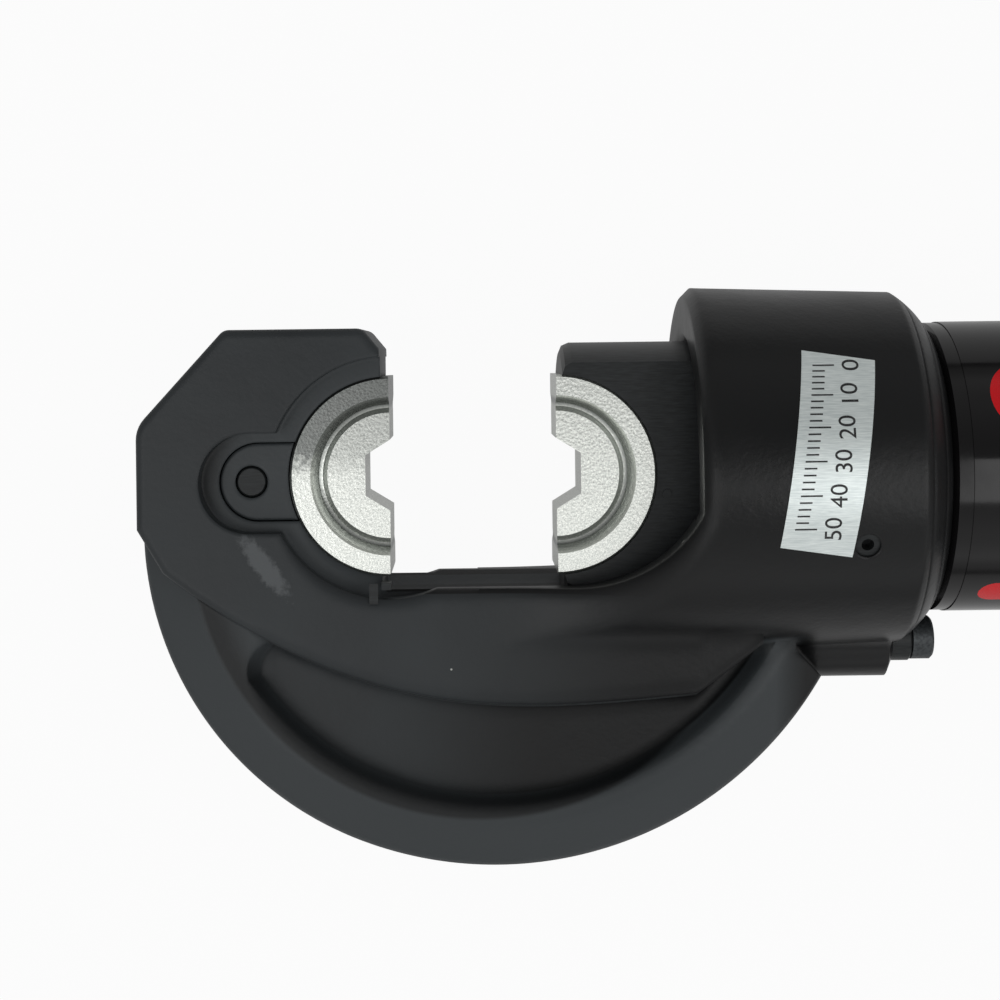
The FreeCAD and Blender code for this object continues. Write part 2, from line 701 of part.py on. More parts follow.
def die(parting_x, side):
    """A half die: side -1 lies towards the nose, 1 towards the handles."""
    edge = DIE_EDGE
    half = DIE_HALF_WIDTH
    cove = [(DIE_WEB_R - 1.2, DIE_WEB_HALF), (DIE_WEB_R, DIE_WEB_HALF - 1.0),
            (DIE_WEB_R + 0.9, DIE_WEB_HALF - 0.6), (DIE_RIM_IN_R, half - 1.0),
            (DIE_RIM_IN_R + 0.5, half)]
    upper = [(0, DIE_WEB_HALF)] + cove + [(DIE_R - edge, half), (DIE_R, half - edge)]
    points = [(z, r) for r, z in upper] + [(-z, r) for r, z in reversed(upper)]
    ring = lathe(points, at(parting_x), Z_DIR)
    reach = DIE_R + 5
    low_x = min(parting_x, parting_x + side * reach)
    keep = block(low_x, low_x + reach, -reach, reach, -reach, reach)
    body = ring.common(keep)
    mouth = NEST_MOUTH / 2
    floor = NEST_FLOOR / 2
    past = parting_x - side * 1.0
    deep = parting_x + side * NEST_DEPTH
    flare = mouth + (mouth - floor) / NEST_DEPTH
    corners = [at(past, flare), at(deep, floor), at(deep, -floor), at(past, -flare)]
    nest = slab(Part.makePolygon(corners + corners[:1]), -half - 1, half + 1)
    back = parting_x + side * DIE_R
    key_y = LOCK_Y if side < 0 else 0.0
    floor_x = back - side * DIE_KEY_DEPTH
    key = rod(DIE_KEY_R, 0, DIE_KEY_DEPTH + 2, at(floor_x, key_y), at(side))
    slot = block(min(floor_x, floor_x + side * 4), max(floor_x, floor_x + side * 4),
                 key_y - DIE_KEY_R, key_y + DIE_KEY_R, -half - 1, 0)
    return body.cut(nest).cut(key).cut(slot)


def die_stop_tabs():
    """Two small steel tabs let into the flange below the fixed die."""
    low = HEAD_HALF
    tall = block(-5.0, -2.8, -31.0, FLOOR_Y + 1.6, low, low + 0.5)
    short = block(TIP_X + SEAT_GAP, 0.4, FLOOR_Y + SEAT_GAP, FLOOR_Y + 1.8, low - 4, low)
    return Part.makeCompound([tall, short])


def keeper_plate():
    low = KEEPER_TOP - KEEPER_THICK + SEAT_GAP
    plate = slab(obround(KEEPER_X, 0, LOCK_Y, KEEPER_R), low, KEEPER_TOP)
    plate = plate.cut(rod(DIE_R + PLAY, low - 1, KEEPER_TOP + 1, ORIGIN, Z_DIR))
    plate = plate.cut(rod(LOCK_PIN_R + PLAY, low - 1, KEEPER_TOP + 1, at(LOCK_X, LOCK_Y), Z_DIR))
    beyond = block(0, KEEPER_R * 2, -KEEPER_R * 2, KEEPER_R * 2, low - 1, KEEPER_TOP + 1)
    return biggest(plate.cut(beyond))


def biggest(shape):
    return max(shape.Solids, key=lambda solid: solid.Volume)


def lock_button():
    """The pin that frees the fixed die, with the neck that the catch reaches into."""
    neck_r = 1.2
    low = -HEAD_HALF + LOCK_PLUG_LENGTH + LOCK_PRESS + 8
    head = KEEPER_TOP - 0.3
    points = [(low, 0), (low, 2.0), (-6.0, 2.0), (-6.0, LOCK_PIN_R), (-4.5, LOCK_PIN_R),
              (-4.0, neck_r), (7.0, neck_r), (9.0, LOCK_PIN_R), (head - 0.4, LOCK_PIN_R),
              (head, LOCK_PIN_R - 0.4), (head, 0)]
    return lathe(points, at(LOCK_X, LOCK_Y), Z_DIR)


def anvil_lock_bolt():
    """A catch whose narrow nose stands in the fixed die's groove."""
    tip = -DIE_R + DIE_KEY_DEPTH - PLAY
    length = tip - (LOCK_X + 1.2 + CATCH_TRAVEL + PLAY)
    nose_r = DIE_KEY_R - PLAY
    points = [(0, 0), (0, nose_r - 0.8), (0.8, nose_r), (DIE_KEY_DEPTH, nose_r),
              (DIE_KEY_DEPTH, CATCH_R), (length, CATCH_R), (length, 0)]
    return lathe(points, at(tip, LOCK_Y), at(-1))


def anvil_lock_spring():
    low = -HEAD_HALF + LOCK_PLUG_LENGTH
    return coil(2.9, 0.5, low, -6.1, 5, at(LOCK_X, LOCK_Y), Z_DIR)


def anvil_lock_plug():
    disc = rod(LOCK_PLUG_R, -HEAD_HALF, -HEAD_HALF + LOCK_PLUG_LENGTH - 0.1,
               at(LOCK_X, LOCK_Y), Z_DIR)
    return disc.cut(block(LOCK_X - 6, LOCK_X + 6, LOCK_Y - 0.6, LOCK_Y + 0.6,
                          -HEAD_HALF - 1, -HEAD_HALF + 1.2))


def retaining_screws():
    """Dog-point grub screws whose tips run in the spigot's groove."""
    groove_r = SPIGOT_R - RETAIN_DEPTH
    tip_r = RETAIN_HALF - PLAY
    outer = collar_radius(RETAIN_X) - 0.8
    points = [(groove_r + PLAY, 0), (groove_r + PLAY, tip_r), (SPIGOT_R + PLAY, tip_r),
              (SPIGOT_R + 0.8, RETAIN_SCREW_R), (outer, RETAIN_SCREW_R), (outer, RETAIN_SOCKET),
              (outer - RETAIN_SCREW_R, RETAIN_SOCKET), (outer - RETAIN_SCREW_R, 0)]
    return Part.makeCompound([lathe(points, at(RETAIN_X), radial(angle))
                              for angle in RETAIN_ANGLES])


def plunger():
    """The pin behind the collar with its stem and wedge nose."""
    gap = WEDGE_HIGH - PLAY
    points = [(WEDGE_X0, 0), (WEDGE_X0, gap - 1.2), (WEDGE_X1, gap + 0.4),
              (WEDGE_X1, STEM_BORE_R - RUN_GAP),
              (WEDGE_X1 + GUIDE_LENGTH, STEM_BORE_R - RUN_GAP),
              (WEDGE_X1 + GUIDE_LENGTH, STEM_R), (BUSH_X1 + PLAY, STEM_R),
              (BUSH_X1 + PLAY, PLUNGER_R), (PLUNGER_X1 - 0.6, PLUNGER_R),
              (PLUNGER_X1, PLUNGER_R - 0.6), (PLUNGER_X1, 0)]
    return lathe(points, at(0, BOSS_Y))


def plunger_bush():
    inner = STEM_R + RUN_GAP
    points = [(BUSH_BORE_X0 + 1, inner), (BUSH_BORE_X0 + 1, BUSH_BORE_R),
              (BOSS_X1, BUSH_BORE_R), (BOSS_X1, BUSH_R), (BUSH_X1 - 0.5, BUSH_R),
              (BUSH_X1, BUSH_R - 0.5), (BUSH_X1, inner)]
    return lathe(points, at(0, BOSS_Y))


def plunger_spring():
    start = WEDGE_X1 + GUIDE_LENGTH + SEAT_GAP
    return coil(STEM_R + 0.95, 0.45, start, BUSH_BORE_X0 + 0.9, 3, at(0, BOSS_Y))


def detent_ball():
    return Part.makeSphere(DETENT_BALL_R, at(DETENT_X, -DETENT_CENTRE))


def detent_pusher():
    start = DETENT_CENTRE + DETENT_BALL_R
    points = [(start, 0), (start, DETENT_BALL_R), (PUSHER_TOP - 1.2, DETENT_BALL_R),
              (PUSHER_TOP, 1.6), (PUSHER_TOP, 0)]
    return lathe(points, at(DETENT_X), Y_DIR * -1)


def ram_head():
    body = lathe([(RAM_X0, 0), (RAM_X0, RAM_R - RAM_EDGE), (RAM_X0 + 0.75, RAM_R - 0.75),
                  (RAM_X0 + RAM_EDGE, RAM_R), (RAM_X1 - 1, RAM_R), (RAM_X1, RAM_R - 1),
                  (RAM_X1, 0)])
    for side in (1, -1):
        low = min(side * RAM_FLAT, side * (RAM_R + 5))
        body = body.cut(block(RAM_X0 - 1, RAM_FLAT_X1, -RAM_R - 1, RAM_R + 1,
                              low, low + RAM_R + 5 - RAM_FLAT))
    body = body.cut(rod(DIE_R + SEAT_GAP, -RAM_R, RAM_R, at(DIE_GAP), Z_DIR))
    body = body.cut(rod(RAM_CATCH_R + RUN_GAP, DIE_GAP, RAM_BORE_X1))
    body = body.cut(rod(RAM_PIN_R, -RAM_R, RAM_R, at(RAM_PIN_X, RAM_PIN_Y), Z_DIR))
    return body.cut(rod(STUD_R, STUD_X0, RAM_X1 + 1))


def ram_cross_pin():
    return rod(RAM_PIN_R - SEAT_GAP, -RAM_FLAT, RAM_FLAT + 0.5, at(RAM_PIN_X, RAM_PIN_Y), Z_DIR)


def ram_detent_bolt():
    """The catch behind the moving die, milled on one side where the cross pin holds it."""
    back = DIE_GAP + DIE_R
    nose_r = DIE_KEY_R - PLAY
    tip = back - DIE_KEY_DEPTH + PLAY
    body = lathe([(tip, 0), (tip, nose_r - 0.8), (tip + 0.8, nose_r), (back + 0.9, nose_r),
                  (back + 0.9, RAM_CATCH_R), (RAM_CATCH_X1, RAM_CATCH_R), (RAM_CATCH_X1, 0)])
    mill_y = RAM_PIN_Y + RAM_PIN_R + PLAY
    return body.cut(block(tip - 1, RAM_PIN_X + RAM_PIN_R + PLAY, -RAM_CATCH_R - 1, mill_y,
                          -RAM_CATCH_R - 1, RAM_CATCH_R + 1))


def ram_detent_spring():
    return coil(3.4, 0.6, RAM_CATCH_X1 + 0.1, RAM_BORE_X1 - 0.1, 3)


def piston():
    bore_fit = PISTON_R - RUN_GAP
    body = lathe([(STUD_X0 + 0.2, 0), (STUD_X0 + 0.2, STUD_R - SEAT_GAP),
                  (RAM_X1, STUD_R - SEAT_GAP), (RAM_X1, bore_fit), (PISTON_X1 - 1, bore_fit),
                  (PISTON_X1, bore_fit - 1), (PISTON_X1, PISTON_CORE_R),
                  (PISTON_CORE_X0, PISTON_CORE_R), (PISTON_CORE_X0, 0)])
    body = body.cut(tube(SEAL_GROOVE_R, PISTON_R + 1, SEAL_X, SEAL_X + SEAL_WIDTH))
    body = body.cut(tube(WEAR_GROOVE_R, PISTON_R + 1, WEAR_X, WEAR_X + WEAR_WIDTH))
    return body.cut(rod(HOOK_PIN_R, -PISTON_R - 1, PISTON_R + 1, at(HOOK_PIN_X), Y_DIR))


def piston_seal():
    return tube(SEAL_GROOVE_R + SEAT_GAP, PISTON_R - SEAT_GAP, SEAL_X + 0.1, SEAL_X + SEAL_WIDTH - 0.1)


def wear_ring():
    return tube(WEAR_GROOVE_R + SEAT_GAP, PISTON_R - SEAT_GAP, WEAR_X + 0.1, WEAR_X + WEAR_WIDTH - 0.1)


def rod_wiper():
    return tube(PISTON_R - RUN_GAP / 2, WIPER_R - SEAT_GAP, SPIGOT_X0 + 0.2, SPIGOT_X0 + WIPER_WIDTH)


def spring_front_pin():
    half = PISTON_R - 1.0
    return rod(HOOK_PIN_R - SEAT_GAP, -half, half, at(HOOK_PIN_X), Y_DIR)


def spring_anchor():
    """An eye bolt in the closed end of the cylinder."""
    eye = rod(6.0, -1.5, 1.5, at(ANCHOR_X), Y_DIR).cut(rod(3.2, -2, 2, at(ANCHOR_X), Y_DIR))
    shank = rod(2.4, ANCHOR_X + 4.6, CHAMBER_X1 + 12)
    flange = rod(5.0, CHAMBER_X1 - 1.8, CHAMBER_X1 - SEAT_GAP)
    return eye.fuse(shank).fuse(flange)


def return_spring():
    """The pull-back spring: hooked over the front pin and through the eye bolt's eye."""
    bend = HOOK_PIN_R + SPRING_WIRE_R + PLAY
    coil_x0 = HOOK_PIN_X + 6.5
    coil_x1 = ANCHOR_X - 9.5
    front = [at(HOOK_PIN_X - 1.2, 0, -bend), at(HOOK_PIN_X - bend, 0, -1.6),
             at(HOOK_PIN_X - bend, 0, 1.6), at(HOOK_PIN_X - 1.2, 0, bend),
             at(HOOK_PIN_X + 2.6, -1.5, bend + 1.6), at(HOOK_PIN_X + 5.2, -5.2, bend + 2.6)]
    rear = [at(ANCHOR_X - 6.5, 5.6, 6.2), at(ANCHOR_X - 3.4, 7.2, 2.0), at(ANCHOR_X, 4.2, 0),
            at(ANCHOR_X, -3.6, 0)]
    return wire(front + helix(SPRING_R, coil_x0, coil_x1, SPRING_TURNS) + rear, SPRING_WIRE_R)


def cylinder_body():
    """Spigot for the head, tube and closed rear end, turned from one bar."""
    outer = [(SPIGOT_X0, SPIGOT_R - RUN_GAP), (COLLAR_END + 0.3, SPIGOT_R - RUN_GAP),
             (COLLAR_END + 0.3, TUBE_R - 1.2), (COLLAR_END + 1.5, TUBE_R), (TUBE_X1, TUBE_R)]
    body = lathe([(SPIGOT_X0, PISTON_R)] + outer
                 + [(TUBE_X1, 0), (CHAMBER_X1, 0), (CHAMBER_X1, PISTON_R)])
    body = body.cut(rod(WIPER_R, SPIGOT_X0 - 1, SPIGOT_X0 + WIPER_WIDTH + 0.1))
    groove_r = SPIGOT_R - RETAIN_DEPTH
    body = body.cut(tube(groove_r, SPIGOT_R + 1, RETAIN_X - RETAIN_HALF, RETAIN_X + RETAIN_HALF))
    detent_r = SPIGOT_R - DETENT_DEPTH
    half = 2.6
    body = body.cut(lathe([(DETENT_X - half, SPIGOT_R + 0.1), (DETENT_X - half, SPIGOT_R - 0.2),
                           (DETENT_X - 1.2, detent_r), (DETENT_X + 1.2, detent_r),
                           (DETENT_X + half, SPIGOT_R - 0.2), (DETENT_X + half, SPIGOT_R + 0.1)]))
    body = body.cut(rod(2.45, CHAMBER_X1 - 1, CHAMBER_X1 + 12.5))
    port = rod(2.0, CHAMBER_X1 - 1, TUBE_X1 + 1, at(0, PORT_Y))
    return body.cut(port)


def cylinder_film():
    return tube(TUBE_R + SEAT_GAP, TUBE_R + FILM_THICK, FILM_X0, FILM_X1)


def ear_outer():
    return CHEEK_IN + CHEEK_THICK + PLAY + EAR_THICK


def pivot_ears():
    """The two lugs under the pump block that carry the handle's pivot."""
    ears = []
    inner = CHEEK_IN + CHEEK_THICK + PLAY
    for low in (inner, -inner - EAR_THICK):
        high_y = BLOCK_LOW + 4
        corners = [at(PIVOT_X - EAR_R, PIVOT_Y, low), at(PIVOT_X - EAR_R - 6, high_y, low),
                   at(PIVOT_X + EAR_R + 2, high_y, low), at(PIVOT_X + EAR_R, PIVOT_Y, low)]
        blade = Part.Wire([
            Part.makeLine(corners[0], corners[1]),
            Part.makeLine(corners[1], corners[2]),
            Part.makeLine(corners[2], corners[3]),
            Part.Arc(corners[3], at(PIVOT_X, PIVOT_Y - EAR_R, low), corners[0]).toShape(),
        ])
        ears.append(Part.Face(blade).extrude(at(0, 0, EAR_THICK)))
    return ears


def pump_block():
    """The valve block behind the cylinder, with its bores and the handle's lugs."""
    body = block(NECK_X1 - 3, BLOCK_X1, BLOCK_LOW, BLOCK_TOP, -BLOCK_HALF, BLOCK_HALF)
    long_edges = edges_where(body, lambda e: abs(e.tangentAt(0).x) > 0.9)
    body = body.makeChamfer(BLOCK_CHAMFER, long_edges)
    rear = edges_where(body, lambda e: mid_of(e).x > BLOCK_X1 - 0.01)
    body = body.makeChamfer(2.0, rear)
    neck = lathe([(TUBE_X1, 0), (TUBE_X1, TUBE_R - 1), (TUBE_X1 + 1, TUBE_R),
                  (NECK_X1 - 2, TUBE_R), (NECK_X1, TUBE_R - 2), (NECK_X1, 0)])
    spigot = rod(RESERVOIR_R - RESERVOIR_WALL - SEAT_GAP, BLOCK_X1 - 1, BLOCK_X1 + 12)
    body = body.fuse(neck).fuse(spigot)
    for ear in pivot_ears():
        body = body.fuse(ear)
    cuts = [
        rod(PUMP_R + RUN_GAP, BLOCK_LOW - 1, PUMP_TOP + 2, at(PUMP_X), Y_DIR),
        rod(GLAND_R + SEAT_GAP, BLOCK_LOW - 1, BLOCK_LOW + GLAND_LENGTH, at(PUMP_X), Y_DIR),
        rod(PUMP_SEAL_R, BLOCK_LOW, BLOCK_LOW + GLAND_LENGTH + 5, at(PUMP_X), Y_DIR),
        rod(VALVE_R + SEAT_GAP, VALVE_FLOOR_Y, BLOCK_TOP + 1, at(SUCTION_X), Y_DIR),
        rod(VALVE_R + SEAT_GAP, VALVE_FLOOR_Y, BLOCK_TOP + 1, at(DISCHARGE_X), Y_DIR),
        rod(FLOW_R, PUMP_TOP, VALVE_FLOOR_Y + 1, at(SUCTION_X), Y_DIR),
        rod(FLOW_R, DISCHARGE_X, PUMP_X, at(0, PUMP_TOP + 1.6), X_DIR),
        rod(FLOW_R, PUMP_TOP + 1.6, VALVE_FLOOR_Y + 1, at(DISCHARGE_X), Y_DIR),
        rod(2.0, TUBE_X1 - 1, DISCHARGE_X, at(0, PORT_Y)),
        rod(VALVE_R + SEAT_GAP, SIDE_FLOOR_Z, BLOCK_HALF + 1, at(RELEASE_X, RELEASE_Y), Z_DIR),
        rod(VALVE_R + SEAT_GAP, SIDE_FLOOR_Z, BLOCK_HALF + 1, at(RELIEF_X, RELIEF_Y), Z_DIR),
        rod(PIVOT_R + SEAT_GAP, -BLOCK_HALF, BLOCK_HALF, at(PIVOT_X, PIVOT_Y), Z_DIR),
        rod(5.0, BLOCK_X1, BLOCK_X1 + 13),
        rod(FLOW_R, SUCTION_X, BLOCK_X1 + 1, at(0, 14.0)),
    ]
    for x, z in screw_places():
        cuts.append(rod(BLOCK_SCREW_R + SEAT_GAP, BLOCK_TOP - BLOCK_SCREW_LENGTH - 1, BLOCK_TOP + 1,
                        at(x, 0, z), Y_DIR))
        cuts.append(rod(SCREW_HEAD_R + PLAY, BLOCK_TOP - SCREW_HEAD_HIGH, BLOCK_TOP + 1,
                        at(x, 0, z), Y_DIR))
    for cut in cuts:
        body = body.cut(cut)
    return body.removeSplitter()


def screw_places():
    side = BLOCK_HALF - SCREW_EDGE
    return [(x, z) for x in (BLOCK_X1 - SCREW_EDGE, NECK_X1 + 4) for z in (side, -side)]


def block_screws():
    """Socket cap screws sunk in the block's top face."""
    screws = []
    for x, z in screw_places():
        head = BLOCK_TOP - 0.6
        seat = BLOCK_TOP - SCREW_HEAD_HIGH
        tip = BLOCK_TOP - BLOCK_SCREW_LENGTH
        points = [(tip, 0), (tip, BLOCK_SCREW_R), (seat, BLOCK_SCREW_R), (seat, SCREW_HEAD_R),
                  (head, SCREW_HEAD_R), (head, SCREW_SOCKET), (head - SCREW_HEAD_HIGH / 2, SCREW_SOCKET),
                  (head - SCREW_HEAD_HIGH / 2, 0)]
        screws.append(lathe(points, at(x, 0, z), Y_DIR))
    return Part.makeCompound(screws)


def pump_plunger():
    """The small pump piston, with a cross hole for the handle's pin."""
    eye = PLUNGER_LOW
    points = [(PUMP_TOP, 0), (PUMP_TOP, PUMP_R - 0.5), (PUMP_TOP - 0.5, PUMP_R),
              (eye - 4.6, PUMP_R), (eye - 6.6, PUMP_R - 2), (eye - 6.6, 0)]
    body = lathe(points, at(PUMP_X), Y_DIR)
    return body.cut(rod(PUMP_PIN_R, -10, 10, at(PUMP_X, eye), Z_DIR))


def plunger_pin():
    half = CHEEK_IN + CHEEK_THICK - 0.6
    return rod(PUMP_PIN_R - SEAT_GAP, -half, half, at(PUMP_X, PLUNGER_LOW), Z_DIR)


def plunger_seal():
    low = BLOCK_LOW + GLAND_LENGTH + 0.1
    return tube(PUMP_R + RUN_GAP / 2, PUMP_SEAL_R - SEAT_GAP, low, low + 4.8, at(PUMP_X), Y_DIR)


def gland_nut():
    low = BLOCK_LOW - 1.0
    inner = PUMP_R + RUN_GAP
    body = tube(inner, GLAND_R, low, BLOCK_LOW + GLAND_LENGTH, at(PUMP_X), Y_DIR)
    for angle in (0, 90, 180, 270):
        hole = at(PUMP_X, 0, 0) + at(8.2 * math.cos(math.radians(angle)), 0,
                                     8.2 * math.sin(math.radians(angle)))
        body = body.cut(rod(0.9, low - 1, low + 3, hole, Y_DIR))
    return body


def valve_ball(x):
    return Part.makeSphere(VALVE_BALL_R, at(x, BALL_Y + PLAY))


def valve_spring(x):
    start = BALL_Y + PLAY + VALVE_BALL_R + 0.1
    return coil(3.0, 0.4, start, BLOCK_TOP - VALVE_PLUG_LENGTH, 3, at(x), Y_DIR)


def valve_plugs():
    plugs = []
    for x in (SUCTION_X, DISCHARGE_X):
        low = BLOCK_TOP - VALVE_PLUG_LENGTH + 0.1
        top = BLOCK_TOP + 3.0
        points = [(low, 0), (low, VALVE_R), (BLOCK_TOP, VALVE_R), (BLOCK_TOP, VALVE_R + 2.2),
                  (top - 0.6, VALVE_R + 2.2), (top, VALVE_R + 1.6), (top, 2.6), (top - 2.5, 2.6),
                  (top - 2.5, 0)]
        plugs.append(lathe(points, at(x), Y_DIR))
    return Part.makeCompound(plugs)


def relief_poppet():
    z = RELIEF_Z + PLAY
    return lathe([(z, 0), (z + 2.0, 2.4), (z + 2.0, VALVE_R - PLAY), (z + 4.5, VALVE_R - PLAY),
                  (z + 4.5, 0)], at(RELIEF_X, RELIEF_Y), Z_DIR)


def relief_spring():
    start = RELIEF_Z + PLAY + 4.6
    return coil(3.2, 0.8, start, BLOCK_HALF - 6.1, 4, at(RELIEF_X, RELIEF_Y), Z_DIR)


def relief_screw():
    low = BLOCK_HALF - 6.0
    top = BLOCK_HALF + 3.5
    points = [(low, 0), (low, VALVE_R), (BLOCK_HALF, VALVE_R), (BLOCK_HALF, VALVE_R + 2.0),
              (top - 0.6, VALVE_R + 2.0), (top, VALVE_R + 1.4), (top, 2.6), (top - 2.5, 2.6),
              (top - 2.5, 0)]
    return lathe(points, at(RELIEF_X, RELIEF_Y), Z_DIR)


def release_stem():
    z = SIDE_FLOOR_Z + PLAY
    fit = VALVE_R - RUN_GAP
    points = [(z, 0), (z + 3.5, 3.0), (z + 3.5, fit), (BLOCK_HALF - 1, fit),
              (BLOCK_HALF - 1, 3.5), (BLOCK_HALF + 10, 3.5), (BLOCK_HALF + 10, 0)]
    return lathe(points, at(RELEASE_X, RELEASE_Y), Z_DIR)


def release_knob():
    """A round knob with finger scallops, fixed on the release stem."""
    low = BLOCK_HALF + 0.8
    top = BLOCK_HALF + 12
    centre = at(RELEASE_X, RELEASE_Y)
    body = lathe([(low, 3.5 + SEAT_GAP), (low, KNOB_R - 1), (low + 1, KNOB_R), (top - 1.5, KNOB_R),
                  (top, KNOB_R - 1.5), (top, 0), (BLOCK_HALF + 10.1, 0),
                  (BLOCK_HALF + 10.1, 3.5 + SEAT_GAP)], centre, Z_DIR)
    scallops = 6
    for index in range(scallops):
        place = polar(KNOB_R + 2.2, 360 * index / scallops, RELEASE_X, RELEASE_Y)
        body = body.cut(rod(3.2, low - 1, top + 1, place, Z_DIR))
    return body


def reservoir_tube():
    inner = RESERVOIR_R - RESERVOIR_WALL
    return tube(inner, RESERVOIR_R, BLOCK_X1 + 0.1, RESERVOIR_X1)


def reservoir_nut():
    """A hexagonal nut that clamps the reservoir tube to the block."""
    start = BLOCK_X1 + 0.1
    corner = NUT_R / math.cos(math.radians(30))
    corners = [at(start, corner * math.cos(math.radians(60 * i)),
                  corner * math.sin(math.radians(60 * i))) for i in range(6)]
    prism = Part.Face(Part.makePolygon(corners + corners[:1])).extrude(at(NUT_LENGTH))
    return prism.cut(rod(RESERVOIR_R + SEAT_GAP, start - 1, start + NUT_LENGTH + 1))


def oil_bladder():
    radius = RESERVOIR_R - RESERVOIR_WALL - PLAY * 2
    start = BLOCK_X1 + 14
    end = RESERVOIR_X1 - 20
    return lathe([(start, 5.5), (start, radius - 6), (start + 8, radius), (end - 10, radius),
                  (end, radius - 8), (end, 0), (end - 1.5, 0), (end - 1.5, radius - 9),
                  (end - 11, radius - 1.5), (start + 9, radius - 1.5), (start + 1.5, radius - 7),
                  (start + 1.5, 5.5)])


def grip(bore_r, wall, start, end, centre=ORIGIN):
    """A rubber sleeve with a thicker collar at its front."""
    outer = bore_r + wall
    points = [(start, bore_r), (start, outer + 2.6), (start + 5, outer + 2.6),
              (start + 8, outer), (end, outer), (end, bore_r)]
    return lathe(points, centre)


def fixed_grip():
    bore = RESERVOIR_R + SEAT_GAP
    return grip(bore, GRIP_WALL, RESERVOIR_X1 - GRIP_LENGTH, RESERVOIR_X1 - 0.5)


def end_cap():
    inner = RESERVOIR_R - RESERVOIR_WALL - SEAT_GAP
    outer = RESERVOIR_R + GRIP_WALL
    end = RESERVOIR_X1 + CAP_LENGTH
    return lathe([(RESERVOIR_X1 - 12, PLUG_R), (RESERVOIR_X1 - 12, inner), (RESERVOIR_X1, inner),
                  (RESERVOIR_X1, outer), (end - 3, outer), (end, outer - 3), (end, PLUG_R)])


def filler_plug():
    end = RESERVOIR_X1 + CAP_LENGTH
    start = RESERVOIR_X1 - 8
    fit = PLUG_R - SEAT_GAP
    return lathe([(start, 0), (start, fit), (end, fit), (end, PLUG_R + 3), (end + 3.4, PLUG_R + 3),
                  (end + 4, PLUG_R + 2.4), (end + 4, 3.0), (end + 1, 3.0), (end + 1, 0)])


def fork_cheek(low):
    """One flat cheek: round the pivot, a lobe with the slot, and a bar to the socket."""
    start = HANDLE_OPEN_DEG / 2
    arm = PUMP_X - PIVOT_X
    far = arm / math.cos(math.radians(start))
    disc = Part.makeCylinder(9.5, CHEEK_THICK, at(PIVOT_X, PIVOT_Y, low))
    lobe_centre = polar(far, start, PIVOT_X, PIVOT_Y)
    lobe_centre.z = low
    lobe = Part.makeCylinder(8.0, CHEEK_THICK, lobe_centre)
    link = block(0, far, -8.0, 8.0, 0, CHEEK_THICK)
    link.rotate(ORIGIN, Z_DIR, start)
    link.translate(at(PIVOT_X, PIVOT_Y, low))
    bar = block(PIVOT_X, FORK_ROOT_X + 6, PIVOT_Y - 9.5, PIVOT_Y + 9.5, low, low + CHEEK_THICK)
    cheek = disc.fuse(lobe).fuse(link).fuse(bar)
    slot = slab(obround(arm - 0.9, far + 0.6, 0, SLOT_HALF), -1, CHEEK_THICK + 1)
    slot.rotate(ORIGIN, Z_DIR, start)
    slot.translate(at(PIVOT_X, PIVOT_Y, low))
    pivot = Part.makeCylinder(PIVOT_R + RUN_GAP, CHEEK_THICK + 2, at(PIVOT_X, PIVOT_Y, low - 1))
    return cheek.cut(slot).cut(pivot)


def handle_fork():
    """The forged fork of the pump handle: two cheeks, a web and a round socket."""
    body = lathe([(FORK_ROOT_X, 0), (FORK_ROOT_X, 9.5), (FORK_ROOT_X + 6, FORK_R),
                  (FORK_END_X - 1.5, FORK_R), (FORK_END_X, FORK_R - 1.5), (FORK_END_X, 0)],
                 at(0, PIVOT_Y))
    for low in (CHEEK_IN, -CHEEK_IN - CHEEK_THICK):
        body = body.fuse(fork_cheek(low))
    body = body.cut(rod(LEVER_R + SEAT_GAP, FORK_ROOT_X + 9, FORK_END_X + 1, at(0, PIVOT_Y)))
    return body.removeSplitter()


def moving_handle_tube():
    return tube(LEVER_R - LEVER_WALL, LEVER_R, FORK_ROOT_X + 9.2, LEVER_X1 - 6, at(0, PIVOT_Y))


def moving_grip():
    bore = LEVER_R + SEAT_GAP
    return grip(bore, LEVER_GRIP_WALL, LEVER_X1 - GRIP_LENGTH - 6, LEVER_X1 - 6.5, at(0, PIVOT_Y))


def handle_end_plug():
    inner = LEVER_R - LEVER_WALL - SEAT_GAP
    outer = LEVER_R + LEVER_GRIP_WALL
    start = LEVER_X1 - 6
    return lathe([(start - 14, 0), (start - 14, inner), (start, inner), (start, outer),
                  (LEVER_X1 - 3, outer), (LEVER_X1, outer - 4), (LEVER_X1, 0)], at(0, PIVOT_Y))


def pivot_pin():
    half = ear_outer() + 2.6
    points = [(-half, 0), (-half, PIVOT_R - 0.5), (-half + 0.5, PIVOT_R)]
    for low in (-ear_outer() - 1.3, ear_outer() + 0.1):
        points += [(low, PIVOT_R), (low, PIVOT_R - 0.5), (low + 1.2, PIVOT_R - 0.5),
                   (low + 1.2, PIVOT_R)]
    points += [(half - 0.5, PIVOT_R), (half, PIVOT_R - 0.5), (half, 0)]
    return lathe(points, at(PIVOT_X, PIVOT_Y), Z_DIR)


def pivot_circlips():
    """Spring clips in the pivot pin's grooves, each with its open mouth."""
    clips = []
    for low in (-ear_outer() - 1.2, ear_outer() + 0.2):
        ring = tube(PIVOT_R - 0.5 + SEAT_GAP, PIVOT_R + 2.4, low, low + 1.0,
                    at(PIVOT_X, PIVOT_Y), Z_DIR)
        mouth = block(PIVOT_X - 1.6, PIVOT_X + 1.6, PIVOT_Y - 12, PIVOT_Y, low - 1, low + 2)
        clips.append(ring.cut(mouth))
    return Part.makeCompound(clips)


